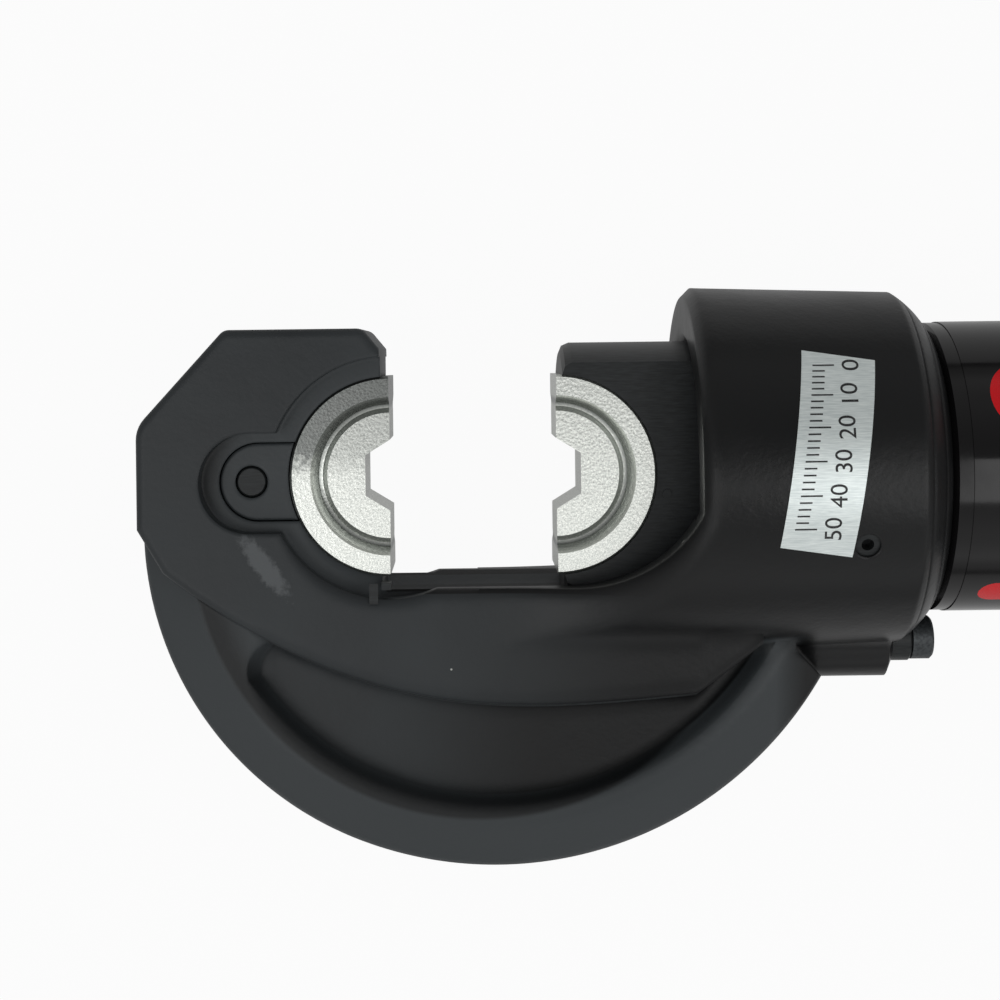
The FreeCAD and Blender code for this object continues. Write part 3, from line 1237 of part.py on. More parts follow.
PIECES = {
    "head_frame": head_frame,
    "collar_label": collar_label,
    "fixed_die": lambda: die(0.0, -1),
    "moving_die": lambda: die(DIE_GAP, 1),
    "die_stop_tabs": die_stop_tabs,
    "anvil_keeper_plate": keeper_plate,
    "anvil_lock_button": lock_button,
    "anvil_lock_bolt": anvil_lock_bolt,
    "anvil_lock_spring": anvil_lock_spring,
    "anvil_lock_plug": anvil_lock_plug,
    "head_retaining_screws": retaining_screws,
    "head_lock_plunger": plunger,
    "plunger_bush": plunger_bush,
    "plunger_spring": plunger_spring,
    "detent_ball": detent_ball,
    "detent_pusher": detent_pusher,
    "ram_head": ram_head,
    "ram_cross_pin": ram_cross_pin,
    "ram_detent_bolt": ram_detent_bolt,
    "ram_detent_spring": ram_detent_spring,
    "piston": piston,
    "piston_seal": piston_seal,
    "piston_wear_ring": wear_ring,
    "rod_wiper": rod_wiper,
    "spring_front_pin": spring_front_pin,
    "spring_anchor_bolt": spring_anchor,
    "return_spring": return_spring,
    "cylinder_body": cylinder_body,
    "cylinder_film": cylinder_film,
    "pump_block": pump_block,
    "block_screws": block_screws,
    "pump_plunger": pump_plunger,
    "plunger_pin": plunger_pin,
    "plunger_seal": plunger_seal,
    "gland_nut": gland_nut,
    "suction_ball": lambda: valve_ball(SUCTION_X),
    "suction_spring": lambda: valve_spring(SUCTION_X),
    "discharge_ball": lambda: valve_ball(DISCHARGE_X),
    "discharge_spring": lambda: valve_spring(DISCHARGE_X),
    "valve_plugs": valve_plugs,
    "relief_poppet": relief_poppet,
    "relief_spring": relief_spring,
    "relief_screw": relief_screw,
    "release_stem": release_stem,
    "release_knob": release_knob,
    "reservoir_tube": reservoir_tube,
    "reservoir_nut": reservoir_nut,
    "oil_bladder": oil_bladder,
    "fixed_grip": fixed_grip,
    "end_cap": end_cap,
    "filler_plug": filler_plug,
    "handle_fork": handle_fork,
    "moving_handle_tube": moving_handle_tube,
    "moving_grip": moving_grip,
    "handle_end_plug": handle_end_plug,
    "handle_pivot_pin": pivot_pin,
    "pivot_circlips": pivot_circlips,
}

os.makedirs("parts", exist_ok=True)
for name, make in PIECES.items():
    make().exportStep("parts/" + name + ".step")
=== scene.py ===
import math

import bmesh
import bpy
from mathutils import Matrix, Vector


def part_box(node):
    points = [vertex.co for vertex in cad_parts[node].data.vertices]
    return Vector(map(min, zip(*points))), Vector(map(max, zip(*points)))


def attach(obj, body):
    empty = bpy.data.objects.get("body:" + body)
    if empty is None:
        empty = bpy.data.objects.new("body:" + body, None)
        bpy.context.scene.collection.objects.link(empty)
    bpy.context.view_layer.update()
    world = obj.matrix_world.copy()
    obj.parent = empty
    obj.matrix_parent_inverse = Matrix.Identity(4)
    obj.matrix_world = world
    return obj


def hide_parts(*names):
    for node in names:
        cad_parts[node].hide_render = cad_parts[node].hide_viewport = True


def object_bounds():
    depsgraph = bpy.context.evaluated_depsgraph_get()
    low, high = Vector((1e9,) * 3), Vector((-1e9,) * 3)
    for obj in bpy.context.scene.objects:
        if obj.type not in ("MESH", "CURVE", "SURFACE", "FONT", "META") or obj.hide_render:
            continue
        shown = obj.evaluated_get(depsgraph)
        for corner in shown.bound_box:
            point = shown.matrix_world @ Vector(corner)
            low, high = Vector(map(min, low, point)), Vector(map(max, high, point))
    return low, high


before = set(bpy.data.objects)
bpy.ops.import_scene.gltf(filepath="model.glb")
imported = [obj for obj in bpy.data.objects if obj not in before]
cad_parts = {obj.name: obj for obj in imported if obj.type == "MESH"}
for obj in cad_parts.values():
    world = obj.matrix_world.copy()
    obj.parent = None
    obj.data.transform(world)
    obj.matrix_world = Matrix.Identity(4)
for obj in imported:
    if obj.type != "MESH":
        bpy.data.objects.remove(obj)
cad_low, cad_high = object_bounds()
bpy.context.scene.view_settings.view_transform = "Standard"


# Camera: straight above the head, which lies on its side. The lens is a short telephoto, and the
# picture's middle is right of the lens's axis and well below it, so both shifts are small.
bpy.ops.object.camera_add(location=(0.0193, 0.0301, 0.492), rotation=(0, 0, -0.0123))
camera = bpy.context.object
camera.data.lens = 68.4
camera.data.sensor_width = 36
camera.data.shift_x = 0.035
camera.data.shift_y = -0.145
camera.data.clip_start = 0.01
bpy.context.scene.camera = camera


# Table and room: a white table that the tool lies on, in a room with white walls and a dimmer
# ceiling, brightest at the wall below the picture. The camera sees the table as plain white, gloss
# sees a part of that, and the table keeps a soft shadow.
def linear(hex_colour):
    """An sRGB colour such as "8C0010" as the linear values that a shader takes."""
    values = [int(hex_colour[i:i + 2], 16) / 255 for i in (0, 2, 4)]
    return [v / 12.92 if v <= 0.04045 else ((v + 0.055) / 1.055) ** 2.4 for v in values] + [1.0]


def add(tree, kind, inputs=None, **settings):
    """A new node with its settings; inputs are values or nodes' sockets, by name or number."""
    node = tree.nodes.new(kind)
    for name, value in settings.items():
        setattr(node, name, value)
    for name, value in (inputs or {}).items():
        if isinstance(value, bpy.types.NodeSocket):
            tree.links.new(value, node.inputs[name])
        else:
            node.inputs[name].default_value = value
    return node


def finish_of(name, colour, roughness, metallic=0.0):
    """A new material with its main values; returns it with its tree and its shader."""
    material = bpy.data.materials.new(name)
    material.use_nodes = True
    tree = material.node_tree
    shader = tree.nodes["Principled BSDF"]
    shader.inputs["Base Color"].default_value = linear(colour)
    shader.inputs["Roughness"].default_value = roughness
    shader.inputs["Metallic"].default_value = metallic
    return material, tree, shader


TABLE_SIDE = 8
TABLE_BELOW_TOOL = 0.0003
SEEN_BY_CAMERA = 0.95
SEEN_BY_GLOSS = 0.3
bpy.ops.object.select_all(action="DESELECT")
bpy.ops.mesh.primitive_plane_add(size=TABLE_SIDE,
                                 location=(0.25, 0, cad_low[2] - TABLE_BELOW_TOOL))
table = bpy.context.object
table.name = "table"
white, tree, shader = finish_of("white_table", "BEBEBE", 0.9)
path = add(tree, "ShaderNodeLightPath")
by_gloss = add(tree, "ShaderNodeMath", {0: path.outputs["Is Glossy Ray"], 1: SEEN_BY_GLOSS},
               operation="MULTIPLY")
seen = add(tree, "ShaderNodeMath", {0: path.outputs["Is Camera Ray"], 1: SEEN_BY_CAMERA,
                                    2: by_gloss.outputs[0]}, operation="MULTIPLY_ADD")
plain_white = add(tree, "ShaderNodeEmission", {"Color": (1, 1, 1, 1), "Strength": 1.0})
mix = add(tree, "ShaderNodeMixShader", {0: seen.outputs[0], 1: shader.outputs[0],
                                        2: plain_white.outputs[0]})
tree.links.new(mix.outputs[0], tree.nodes["Material Output"].inputs["Surface"])
table.data.materials.append(white)

world = bpy.data.worlds.new("white_room")
bpy.context.scene.world = world
world.use_nodes = True
tree = world.node_tree
room = tree.nodes["Background"]
room.inputs["Color"].default_value = linear("FFFFFF")
path = add(tree, "ShaderNodeLightPath")
toward = add(tree, "ShaderNodeTexCoord")
way = add(tree, "ShaderNodeSeparateXYZ", {0: toward.outputs["Generated"]})
# How bright the room is from the table's level, 0, to straight overhead, 1.
walls = add(tree, "ShaderNodeValToRGB", {"Fac": way.outputs["Z"]})
walls.color_ramp.interpolation = "EASE"
stops = walls.color_ramp.elements
stops[0].color = (0.15, 0.15, 0.15, 1)
stops[1].color = (0.4, 0.4, 0.4, 1)
for level, value in ((0.12, 0.5), (0.3, 0.85), (0.55, 0.7)):
    stops.new(level).color = (value, value, value, 1)
near_side = add(tree, "ShaderNodeMapRange",
                {"Value": way.outputs["Y"], "From Min": 0.4, "From Max": -0.5,
                 "To Min": 0.6, "To Max": 1.05}, interpolation_type="SMOOTHSTEP")
light = add(tree, "ShaderNodeMath", {0: walls.outputs["Color"], 1: near_side.outputs[0]},
            operation="MULTIPLY")
strength = add(tree, "ShaderNodeMix", {0: path.outputs["Is Camera Ray"], 2: light.outputs[0],
                                       3: 1.0})
tree.links.new(strength.outputs[0], room.inputs["Strength"])

# Three wide soft lamps hang over the table and shine straight down: place, sizes and watts.
LAMP_HEIGHT = 0.95
for name, x, y, along, across, watts in (
        ("lamp_over_anvil", -0.40, -0.22, 0.5, 0.66, 1.9),
        ("lamp_over_throat", 0.09, -0.13, 0.36, 0.2, 0.25),
        ("lamp_over_handle", 0.70, -0.157, 0.65, 0.575, 2.6)):
    bpy.ops.object.light_add(type="AREA", location=(x, y, LAMP_HEIGHT))
    lamp = bpy.context.object
    lamp.name = name
    lamp.data.shape = "RECTANGLE"
    lamp.data.size = along
    lamp.data.size_y = across
    lamp.data.energy = watts


# Head: one steel forging, shot-blasted and sprayed with satin black paint. The paint has a fine
# orange peel over the soft hollows of the blasted skin. It is scuffed grey below the catch, and a
# few chips show bare metal.
def dress(material, *names):
    """Gives CAD nodes a finish."""
    for name in names:
        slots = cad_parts[name].data.materials
        slots.clear()
        slots.append(material)


# Heights above and below the head's middle plane: the hollow's floor, the rim, and the swell. Then
# where the collar begins along the tool, and the middle of the rim's arc.
FLOOR, FLOOR_TOP = 0.0125, 0.0134
RIM, RIM_TOP = 0.0186, 0.0192
SWELL, SWELL_TOP = 0.0195, 0.022
COLLAR_START, COLLAR_FULL = 0.096, 0.104
ARC_MIDDLE = (0.0226, -0.0131, 0)

paint, tree, shader = finish_of("satin_black_paint_on_blasted_forging", "16181A", 0.42)
shader.inputs["Specular IOR Level"].default_value = 0.3
place = add(tree, "ShaderNodeTexCoord")
# Clouds of grey in the black, 36 mm across.
cloud = add(tree, "ShaderNodeTexNoise", {"Vector": place.outputs["Object"], "Scale": 28.0,
                                         "Detail": 4.0})
tone = add(tree, "ShaderNodeValToRGB", {"Fac": cloud.outputs["Fac"]})
tone.color_ramp.elements[0].color = linear("26292B")
tone.color_ramp.elements[0].position = 0.35
tone.color_ramp.elements[1].color = linear("2F3335")
tone.color_ramp.elements[1].position = 0.7
# Painted shade: the collar, the swell before it and the end of the hollow beside it are painted
# near black, darker than the rest, where they lie in shade. Painted highlight: the rim and its
# bevel are painted a lighter grey than the arm, for the lamps' sheen on them.
at = add(tree, "ShaderNodeSeparateXYZ", {0: place.outputs["Object"]})
height = add(tree, "ShaderNodeMath", {0: at.outputs["Z"]}, operation="ABSOLUTE")
to_collar = add(tree, "ShaderNodeMapRange",
                {"Value": at.outputs["X"], "From Min": 0.0, "From Max": 0.07},
                interpolation_type="SMOOTHSTEP")
above_rim = add(tree, "ShaderNodeMapRange", {"Value": height.outputs[0], "From Min": SWELL,
                                             "From Max": SWELL_TOP})
swell = add(tree, "ShaderNodeMath", {0: to_collar.outputs[0], 1: above_rim.outputs[0]},
            operation="MULTIPLY")
to_hollow_end = add(tree, "ShaderNodeMapRange",
                    {"Value": at.outputs["X"], "From Min": -0.01, "From Max": 0.04},
                    interpolation_type="SMOOTHSTEP")
on_floor = add(tree, "ShaderNodeMapRange", {"Value": height.outputs[0], "From Min": FLOOR_TOP,
                                            "From Max": FLOOR})
hollow_end = add(tree, "ShaderNodeMath", {0: to_hollow_end.outputs[0], 1: on_floor.outputs[0]},
                 operation="MULTIPLY")
collar = add(tree, "ShaderNodeMapRange", {"Value": at.outputs["X"], "From Min": COLLAR_START,
                                          "From Max": COLLAR_FULL})
swell_or_hollow = add(tree, "ShaderNodeMath", {0: swell.outputs[0], 1: hollow_end.outputs[0]},
                      operation="MAXIMUM")
painted_shade_at_collar_end = add(tree, "ShaderNodeMath", {0: swell_or_hollow.outputs[0], 1: collar.outputs[0]},
                operation="MAXIMUM")
# Painted shade also goes on the foot of the hollow's outer wall, between 63 and 73 mm from the
# middle of the rim's arc, and on the floor of the throat.
from_arc = add(tree, "ShaderNodeVectorMath", {0: place.outputs["Object"], 1: ARC_MIDDLE},
               operation="SUBTRACT")
in_plane = add(tree, "ShaderNodeVectorMath", {0: from_arc.outputs["Vector"], 1: (1, 1, 0)},
               operation="MULTIPLY")
arc = add(tree, "ShaderNodeVectorMath", {0: in_plane.outputs["Vector"]}, operation="LENGTH")
foot = add(tree, "ShaderNodeMapRange",
           {"Value": arc.outputs["Value"], "From Min": 0.063, "From Max": 0.0705,
            "To Max": 0.85}, interpolation_type="SMOOTHSTEP")
inside_rim = add(tree, "ShaderNodeMapRange",
                 {"Value": arc.outputs["Value"], "From Min": 0.0732, "From Max": 0.0718},
                 interpolation_type="SMOOTHSTEP")
below_rim = add(tree, "ShaderNodeMapRange", {"Value": height.outputs[0], "From Min": RIM_TOP,
                                             "From Max": RIM})
foot_ring = add(tree, "ShaderNodeMath", {0: foot.outputs[0], 1: inside_rim.outputs[0]},
                operation="MULTIPLY")
wall_foot = add(tree, "ShaderNodeMath", {0: foot_ring.outputs[0], 1: below_rim.outputs[0]},
                operation="MULTIPLY")
throat_y = add(tree, "ShaderNodeMath", {0: at.outputs["Y"], 1: -0.0287}, operation="GREATER_THAN")
throat_x = add(tree, "ShaderNodeMath", {0: at.outputs["X"], 1: -0.001}, operation="GREATER_THAN")
throat = add(tree, "ShaderNodeMath", {0: throat_y.outputs[0], 1: throat_x.outputs[0]},
             operation="MULTIPLY")
painted_shade_in_foot_and_throat = add(tree, "ShaderNodeMath", {0: wall_foot.outputs[0], 1: throat.outputs[0]},
                     operation="MAXIMUM")
painted_shade_mask = add(tree, "ShaderNodeMath", {0: painted_shade_at_collar_end.outputs[0], 1: painted_shade_in_foot_and_throat.outputs[0]},
             operation="MAXIMUM")
above_floor = add(tree, "ShaderNodeMapRange", {"Value": height.outputs[0], "From Min": FLOOR,
                                               "From Max": FLOOR_TOP})
rim_height = add(tree, "ShaderNodeMath", {0: above_floor.outputs[0], 1: above_rim.outputs[0]},
                 operation="SUBTRACT")
# Painted highlight: the band between the hollow's floor and the swell's height, which is the rim
# and its bevel, is lightened to grey, away from the collar.
painted_rim_highlight = add(tree, "ShaderNodeMath", {0: rim_height.outputs[0], 1: collar.outputs[0]},
              operation="SUBTRACT", use_clamp=True)
grey = add(tree, "ShaderNodeMix", {0: painted_rim_highlight.outputs[0], 6: tone.outputs["Color"],
                                   7: linear("363A3C")}, data_type="RGBA")
# Painted shade: the masked places are mixed towards near black.
black = add(tree, "ShaderNodeMix", {0: painted_shade_mask.outputs[0], 6: grey.outputs[2],
                                    7: linear("0B0C0D")}, data_type="RGBA")
# The scuff is a streak 19 mm long and 5 mm wide, brushed through to the grey primer. The bristles
# that fray its edge are 1.4 mm apart.
SCUFF_TURN = 53
SCUFF_HALF = (0.0095, 0.0026, 0.003)
SCUFF_TO_ORIGIN = (0.031, 0.0212, -0.024)
streak = add(tree, "ShaderNodeMapping", {"Vector": place.outputs["Object"],
                                         "Location": SCUFF_TO_ORIGIN}, vector_type="POINT")
turned = add(tree, "ShaderNodeVectorRotate", {"Vector": streak.outputs["Vector"],
                                              "Angle": math.radians(SCUFF_TURN)},
             rotation_type="Z_AXIS")
narrow = add(tree, "ShaderNodeVectorMath", {0: turned.outputs["Vector"],
                                            1: [1 / half for half in SCUFF_HALF]},
             operation="MULTIPLY")
away = add(tree, "ShaderNodeVectorMath", {0: narrow.outputs["Vector"]}, operation="LENGTH")
bristle = add(tree, "ShaderNodeTexNoise", {"Vector": place.outputs["Object"], "Scale": 700.0,
                                           "Detail": 5.0, "Roughness": 0.7})
frayed = add(tree, "ShaderNodeMath", {0: bristle.outputs["Fac"], 1: 1.3,
                                      2: away.outputs["Value"]}, operation="MULTIPLY_ADD")
scuff = add(tree, "ShaderNodeMapRange", {"Value": frayed.outputs[0], "From Min": 1.35,
                                         "From Max": 1.75, "To Min": 0.75, "To Max": 0.0})
rubbed = add(tree, "ShaderNodeMix", {0: scuff.outputs[0], 6: black.outputs[2],
                                     7: linear("55585A")}, data_type="RGBA")
# Chips are 1 mm across: one in the middle of every fifth cell, and the cells are 18 mm across.
CELLS_PER_METRE = 55.0
CHIP_RADIUS_IN_CELLS = 0.028
dots = add(tree, "ShaderNodeTexVoronoi", {"Vector": place.outputs["Object"],
                                          "Scale": CELLS_PER_METRE})
near = add(tree, "ShaderNodeMath", {0: dots.outputs["Distance"], 1: CHIP_RADIUS_IN_CELLS},
           operation="LESS_THAN")
cell = add(tree, "ShaderNodeSeparateColor", {"Color": dots.outputs["Color"]})
some = add(tree, "ShaderNodeMath", {0: cell.outputs[0], 1: 0.8}, operation="GREATER_THAN")
chip = add(tree, "ShaderNodeMath", {0: near.outputs[0], 1: some.outputs[0]}, operation="MULTIPLY")
coat = add(tree, "ShaderNodeMix", {0: chip.outputs[0], 6: rubbed.outputs[2],
                                   7: linear("A9ACA8")}, data_type="RGBA")
tree.links.new(coat.outputs[2], shader.inputs["Base Color"])
# The clouds are a little rougher too, and the turned collar is smoother than the forged arm.
gloss = add(tree, "ShaderNodeMapRange", {"Value": cloud.outputs["Fac"], "From Min": 0.3,
                                         "From Max": 0.7, "To Min": 0.38, "To Max": 0.5})
smooth = add(tree, "ShaderNodeMath", {0: to_collar.outputs[0], 1: -0.12, 2: gloss.outputs[0]},
             operation="MULTIPLY_ADD")
tree.links.new(smooth.outputs[0], shader.inputs["Roughness"])
# The sprayed coat rounds every edge by 1.4 mm, and the die left radii of 6 mm round the pocket and
# in the swell that runs into the collar.
COAT_RADIUS, DIE_RADIUS = 0.0014, 0.006
below_arm = add(tree, "ShaderNodeMapRange", {"Value": at.outputs["Y"], "From Min": -0.012,
                                             "From Max": -0.03})
past_nose = add(tree, "ShaderNodeMapRange", {"Value": at.outputs["X"], "From Min": -0.036,
                                             "From Max": -0.03})
past_throat = add(tree, "ShaderNodeMapRange", {"Value": at.outputs["X"], "From Min": 0.012,
                                               "From Max": 0.03})
before_collar = add(tree, "ShaderNodeMapRange", {"Value": at.outputs["X"], "From Min": 0.104,
                                                 "From Max": 0.099})
round_pocket = add(tree, "ShaderNodeMath", {0: below_arm.outputs[0], 1: past_nose.outputs[0]},
                   operation="MULTIPLY")
die_radii = add(tree, "ShaderNodeMath", {0: round_pocket.outputs[0], 1: past_throat.outputs[0]},
                operation="MAXIMUM")
wide_here = add(tree, "ShaderNodeMath", {0: die_radii.outputs[0], 1: before_collar.outputs[0]},
                operation="MULTIPLY")
edge_radius = add(tree, "ShaderNodeMapRange", {"Value": wide_here.outputs[0],
                                               "To Min": COAT_RADIUS, "To Max": DIE_RADIUS})
soft = add(tree, "ShaderNodeBevel", {"Radius": edge_radius.outputs[0]}, samples=8)
# Orange peel 1.1 mm apart, on hollows of the blasted skin 4.5 mm apart.
peel = add(tree, "ShaderNodeTexNoise", {"Vector": place.outputs["Object"], "Scale": 900.0,
                                        "Detail": 2.0})
blast = add(tree, "ShaderNodeTexNoise", {"Vector": place.outputs["Object"], "Scale": 220.0,
                                         "Detail": 3.0})
fine = add(tree, "ShaderNodeBump", {"Height": peel.outputs["Fac"], "Strength": 0.1,
                                    "Distance": 0.0004, "Normal": soft.outputs["Normal"]})
rough = add(tree, "ShaderNodeBump", {"Height": blast.outputs["Fac"], "Strength": 0.07,
                                     "Distance": 0.0012, "Normal": fine.outputs["Normal"]})
tree.links.new(rough.outputs["Normal"], shader.inputs["Normal"])
dress(paint, "head_frame", "anvil_keeper_plate")


# Dies: two forged half rounds, zinc plated and slid into seats in the anvil and the ram. The
# plating shows a coarse bright grain, in cells 0.8 mm across with specks half that size.
HALF_OPENING = 0.021
GROOVE_RADIUS = 0.0182
zinc, tree, shader = finish_of("zinc_plate_over_forged_steel", "DDE0DA", 0.26, 0.95)
place = add(tree, "ShaderNodeTexCoord")
grain = add(tree, "ShaderNodeTexVoronoi", {"Vector": place.outputs["Object"], "Scale": 1300.0})
speck = add(tree, "ShaderNodeTexNoise", {"Vector": place.outputs["Object"], "Scale": 2600.0,
                                         "Detail": 3.0})
tone = add(tree, "ShaderNodeValToRGB", {"Fac": speck.outputs["Fac"]})
tone.color_ramp.elements[0].color = linear("C9CDC8")
tone.color_ramp.elements[0].position = 0.3
tone.color_ramp.elements[1].color = linear("F0F2EC")
tone.color_ramp.elements[1].position = 0.65
# Painted shade: the groove round each face, 17 to 19.5 mm from the middle of the die, is painted
# dark grey for the shade inside it.
at = add(tree, "ShaderNodeSeparateXYZ", {0: place.outputs["Object"]})
from_middle = add(tree, "ShaderNodeMath", {0: at.outputs["X"], 1: HALF_OPENING},
                  operation="SUBTRACT")
either_way = add(tree, "ShaderNodeMath", {0: from_middle.outputs[0]}, operation="ABSOLUTE")
into_die = add(tree, "ShaderNodeMath", {0: either_way.outputs[0], 1: HALF_OPENING},
               operation="SUBTRACT")
flat = add(tree, "ShaderNodeCombineXYZ", {0: into_die.outputs[0], 1: at.outputs["Y"]})
radius = add(tree, "ShaderNodeVectorMath", {0: flat.outputs[0]}, operation="LENGTH")
off_groove = add(tree, "ShaderNodeMath", {0: radius.outputs["Value"], 1: GROOVE_RADIUS},
                 operation="SUBTRACT")
aside = add(tree, "ShaderNodeMath", {0: off_groove.outputs[0]}, operation="ABSOLUTE")
groove = add(tree, "ShaderNodeMapRange", {"Value": aside.outputs[0], "From Min": 0.0014,
                                          "From Max": 0.0004, "To Max": 0.75})
# Painted shade: the groove is mixed towards dark grey.
skin = add(tree, "ShaderNodeMix", {0: groove.outputs[0], 6: tone.outputs["Color"],
                                   7: linear("4A4F4C")}, data_type="RGBA")
# Painted reflection: the fixed die is painted a dull grey in its upper half, most of all on the
# outer ring, for a dark reflection that lies there, with a ragged lower edge in blotches 1.4 mm
# across.
blotch = add(tree, "ShaderNodeTexNoise", {"Vector": place.outputs["Object"], "Scale": 700.0,
                                          "Detail": 4.0})
ragged = add(tree, "ShaderNodeMath", {0: blotch.outputs["Fac"], 1: 0.012, 2: at.outputs["Y"]},
             operation="MULTIPLY_ADD")
upper_half = add(tree, "ShaderNodeMapRange",
                 {"Value": ragged.outputs[0], "From Min": 0.004, "From Max": 0.013,
                  "To Max": 0.85}, interpolation_type="SMOOTHSTEP")
outer_ring = add(tree, "ShaderNodeMapRange", {"Value": radius.outputs["Value"],
                                              "From Min": 0.018, "From Max": 0.0195,
                                              "To Min": 0.4})
painted_dark_reflection_mask = add(tree, "ShaderNodeMath", {0: upper_half.outputs[0], 1: outer_ring.outputs[0]},
           operation="MULTIPLY")
on_fixed_die = add(tree, "ShaderNodeMath", {0: at.outputs["X"], 1: HALF_OPENING},
                   operation="LESS_THAN")
painted_dark_reflection = add(tree, "ShaderNodeMath", {0: painted_dark_reflection_mask.outputs[0], 1: on_fixed_die.outputs[0]},
              operation="MULTIPLY")
# Painted reflection: the fixed die's upper half is mixed towards dull grey.
plate = add(tree, "ShaderNodeMix", {0: painted_dark_reflection.outputs[0], 6: skin.outputs[2],
                                    7: linear("5A5D5C")}, data_type="RGBA")
tree.links.new(plate.outputs[2], shader.inputs["Base Color"])
bump = add(tree, "ShaderNodeBump", {"Height": grain.outputs["Distance"], "Strength": 0.09,
                                    "Distance": 0.0003})
tree.links.new(bump.outputs["Normal"], shader.inputs["Normal"])
dress(zinc, "fixed_die", "moving_die")


# Ram nose and small dark parts: turned or milled steel, blackened in hot salts and oiled. The
# cutter's lines show as streaks 3 mm long and 0.4 mm apart, coarser than the real ones.
blackened, tree, shader = finish_of("hot_blackened_steel", "1C1E1F", 0.38, 0.2)
shader.inputs["Specular IOR Level"].default_value = 0.35
place = add(tree, "ShaderNodeTexCoord")
lines = add(tree, "ShaderNodeMapping", {"Vector": place.outputs["Object"], "Scale": (1, 8, 1)})
cutter = add(tree, "ShaderNodeTexNoise", {"Vector": lines.outputs["Vector"], "Scale": 300.0,
                                          "Detail": 4.0})
tone = add(tree, "ShaderNodeValToRGB", {"Fac": cutter.outputs["Fac"]})
tone.color_ramp.elements[0].color = linear("17191A")
tone.color_ramp.elements[0].position = 0.3
tone.color_ramp.elements[1].color = linear("26292A")
tone.color_ramp.elements[1].position = 0.7
tree.links.new(tone.outputs["Color"], shader.inputs["Base Color"])
bump = add(tree, "ShaderNodeBump", {"Height": cutter.outputs["Fac"], "Strength": 0.1,
                                    "Distance": 0.0003})
tree.links.new(bump.outputs["Normal"], shader.inputs["Normal"])
dress(blackened, "ram_head", "ram_cross_pin", "die_stop_tabs", "anvil_lock_button",
      "anvil_lock_plug", "plunger_bush", "head_retaining_screws", "block_screws", "valve_plugs",
      "reservoir_nut")


# The catch at the back of the collar: a turned steel pin on a stem, pulled to let the head turn.
# Its grey phosphate skin has crystals too fine to show, so they are drawn 0.7 mm across.
phosphated, tree, shader = finish_of("phosphated_steel", "3C4042", 0.45, 0.5)
place = add(tree, "ShaderNodeTexCoord")
crystals = add(tree, "ShaderNodeTexNoise", {"Vector": place.outputs["Object"], "Scale": 1500.0,
                                            "Detail": 3.0})
tone = add(tree, "ShaderNodeValToRGB", {"Fac": crystals.outputs["Fac"]})
tone.color_ramp.elements[0].color = linear("303335")
tone.color_ramp.elements[0].position = 0.35
tone.color_ramp.elements[1].color = linear("464A4C")
tone.color_ramp.elements[1].position = 0.65
tree.links.new(tone.outputs["Color"], shader.inputs["Base Color"])
dress(phosphated, "head_lock_plunger")


# Hidden steel: pins, bolts, the release stem and the relief valve's needle, hardened and ground
# bright. The wheel's marks are too fine to show, so they are drawn as mottling 1.3 mm across.
ground, tree, shader = finish_of("ground_steel", "B9BABA", 0.28, 1.0)
place = add(tree, "ShaderNodeTexCoord")
wheel = add(tree, "ShaderNodeTexNoise", {"Vector": place.outputs["Object"], "Scale": 800.0,
                                         "Detail": 3.0})
shine = add(tree, "ShaderNodeMapRange", {"Value": wheel.outputs["Fac"], "To Min": 0.2,
                                         "To Max": 0.38})
tree.links.new(shine.outputs[0], shader.inputs["Roughness"])
tone = add(tree, "ShaderNodeValToRGB", {"Fac": wheel.outputs["Fac"]})
tone.color_ramp.elements[0].color = linear("A4A6A6")
tone.color_ramp.elements[1].color = linear("CBCCCB")
tree.links.new(tone.outputs["Color"], shader.inputs["Base Color"])
dress(ground, "anvil_lock_bolt", "detent_pusher", "ram_detent_bolt", "spring_front_pin",
      "spring_anchor_bolt", "plunger_pin", "relief_poppet", "release_stem", "handle_pivot_pin")


# Ram piston, pump plunger and valve balls: hard chrome on steel, polished. They run in oil, whose
# thin film dulls the shine in patches 11 mm across.
chrome, tree, shader = finish_of("hard_chrome", "D4D6D8", 0.1, 1.0)
place = add(tree, "ShaderNodeTexCoord")
oil = add(tree, "ShaderNodeTexNoise", {"Vector": place.outputs["Object"], "Scale": 90.0,
                                       "Detail": 3.0})
shine = add(tree, "ShaderNodeMapRange", {"Value": oil.outputs["Fac"], "To Min": 0.06,
                                         "To Max": 0.18})
tree.links.new(shine.outputs[0], shader.inputs["Roughness"])
dress(chrome, "piston", "pump_plunger", "suction_ball", "discharge_ball", "detent_ball")


# Springs and circlips: drawn spring wire, and strip stamped from it, snapped or hooked into place.
# The steel is grey with a blue cast, and the drawing left it mottled about every millimetre.
wire, tree, shader = finish_of("drawn_spring_wire", "83868B", 0.35, 1.0)
place = add(tree, "ShaderNodeTexCoord")
mottle = add(tree, "ShaderNodeTexNoise", {"Vector": place.outputs["Object"], "Scale": 1100.0,
                                          "Detail": 2.0})
tone = add(tree, "ShaderNodeValToRGB", {"Fac": mottle.outputs["Fac"]})
tone.color_ramp.elements[0].color = linear("70747A")
tone.color_ramp.elements[1].color = linear("979A9E")
tree.links.new(tone.outputs["Color"], shader.inputs["Base Color"])
dress(wire, "anvil_lock_spring", "plunger_spring", "ram_detent_spring", "return_spring",
      "suction_spring", "discharge_spring", "relief_spring", "pivot_circlips")


# Seals and the oil bladder: black nitrile rubber, moulded, matt with an oily bloom in patches 7 mm
# across. The piston's guide ring is a strip of ivory acetal, cut and wrapped into its groove.
nitrile, tree, shader = finish_of("black_nitrile_rubber", "1B1B1B", 0.55)
place = add(tree, "ShaderNodeTexCoord")
bloom = add(tree, "ShaderNodeTexNoise", {"Vector": place.outputs["Object"], "Scale": 150.0,
                                         "Detail": 4.0})
shine = add(tree, "ShaderNodeMapRange", {"Value": bloom.outputs["Fac"], "To Min": 0.42,
                                         "To Max": 0.7})
tree.links.new(shine.outputs[0], shader.inputs["Roughness"])
dress(nitrile, "piston_seal", "rod_wiper", "plunger_seal", "oil_bladder")

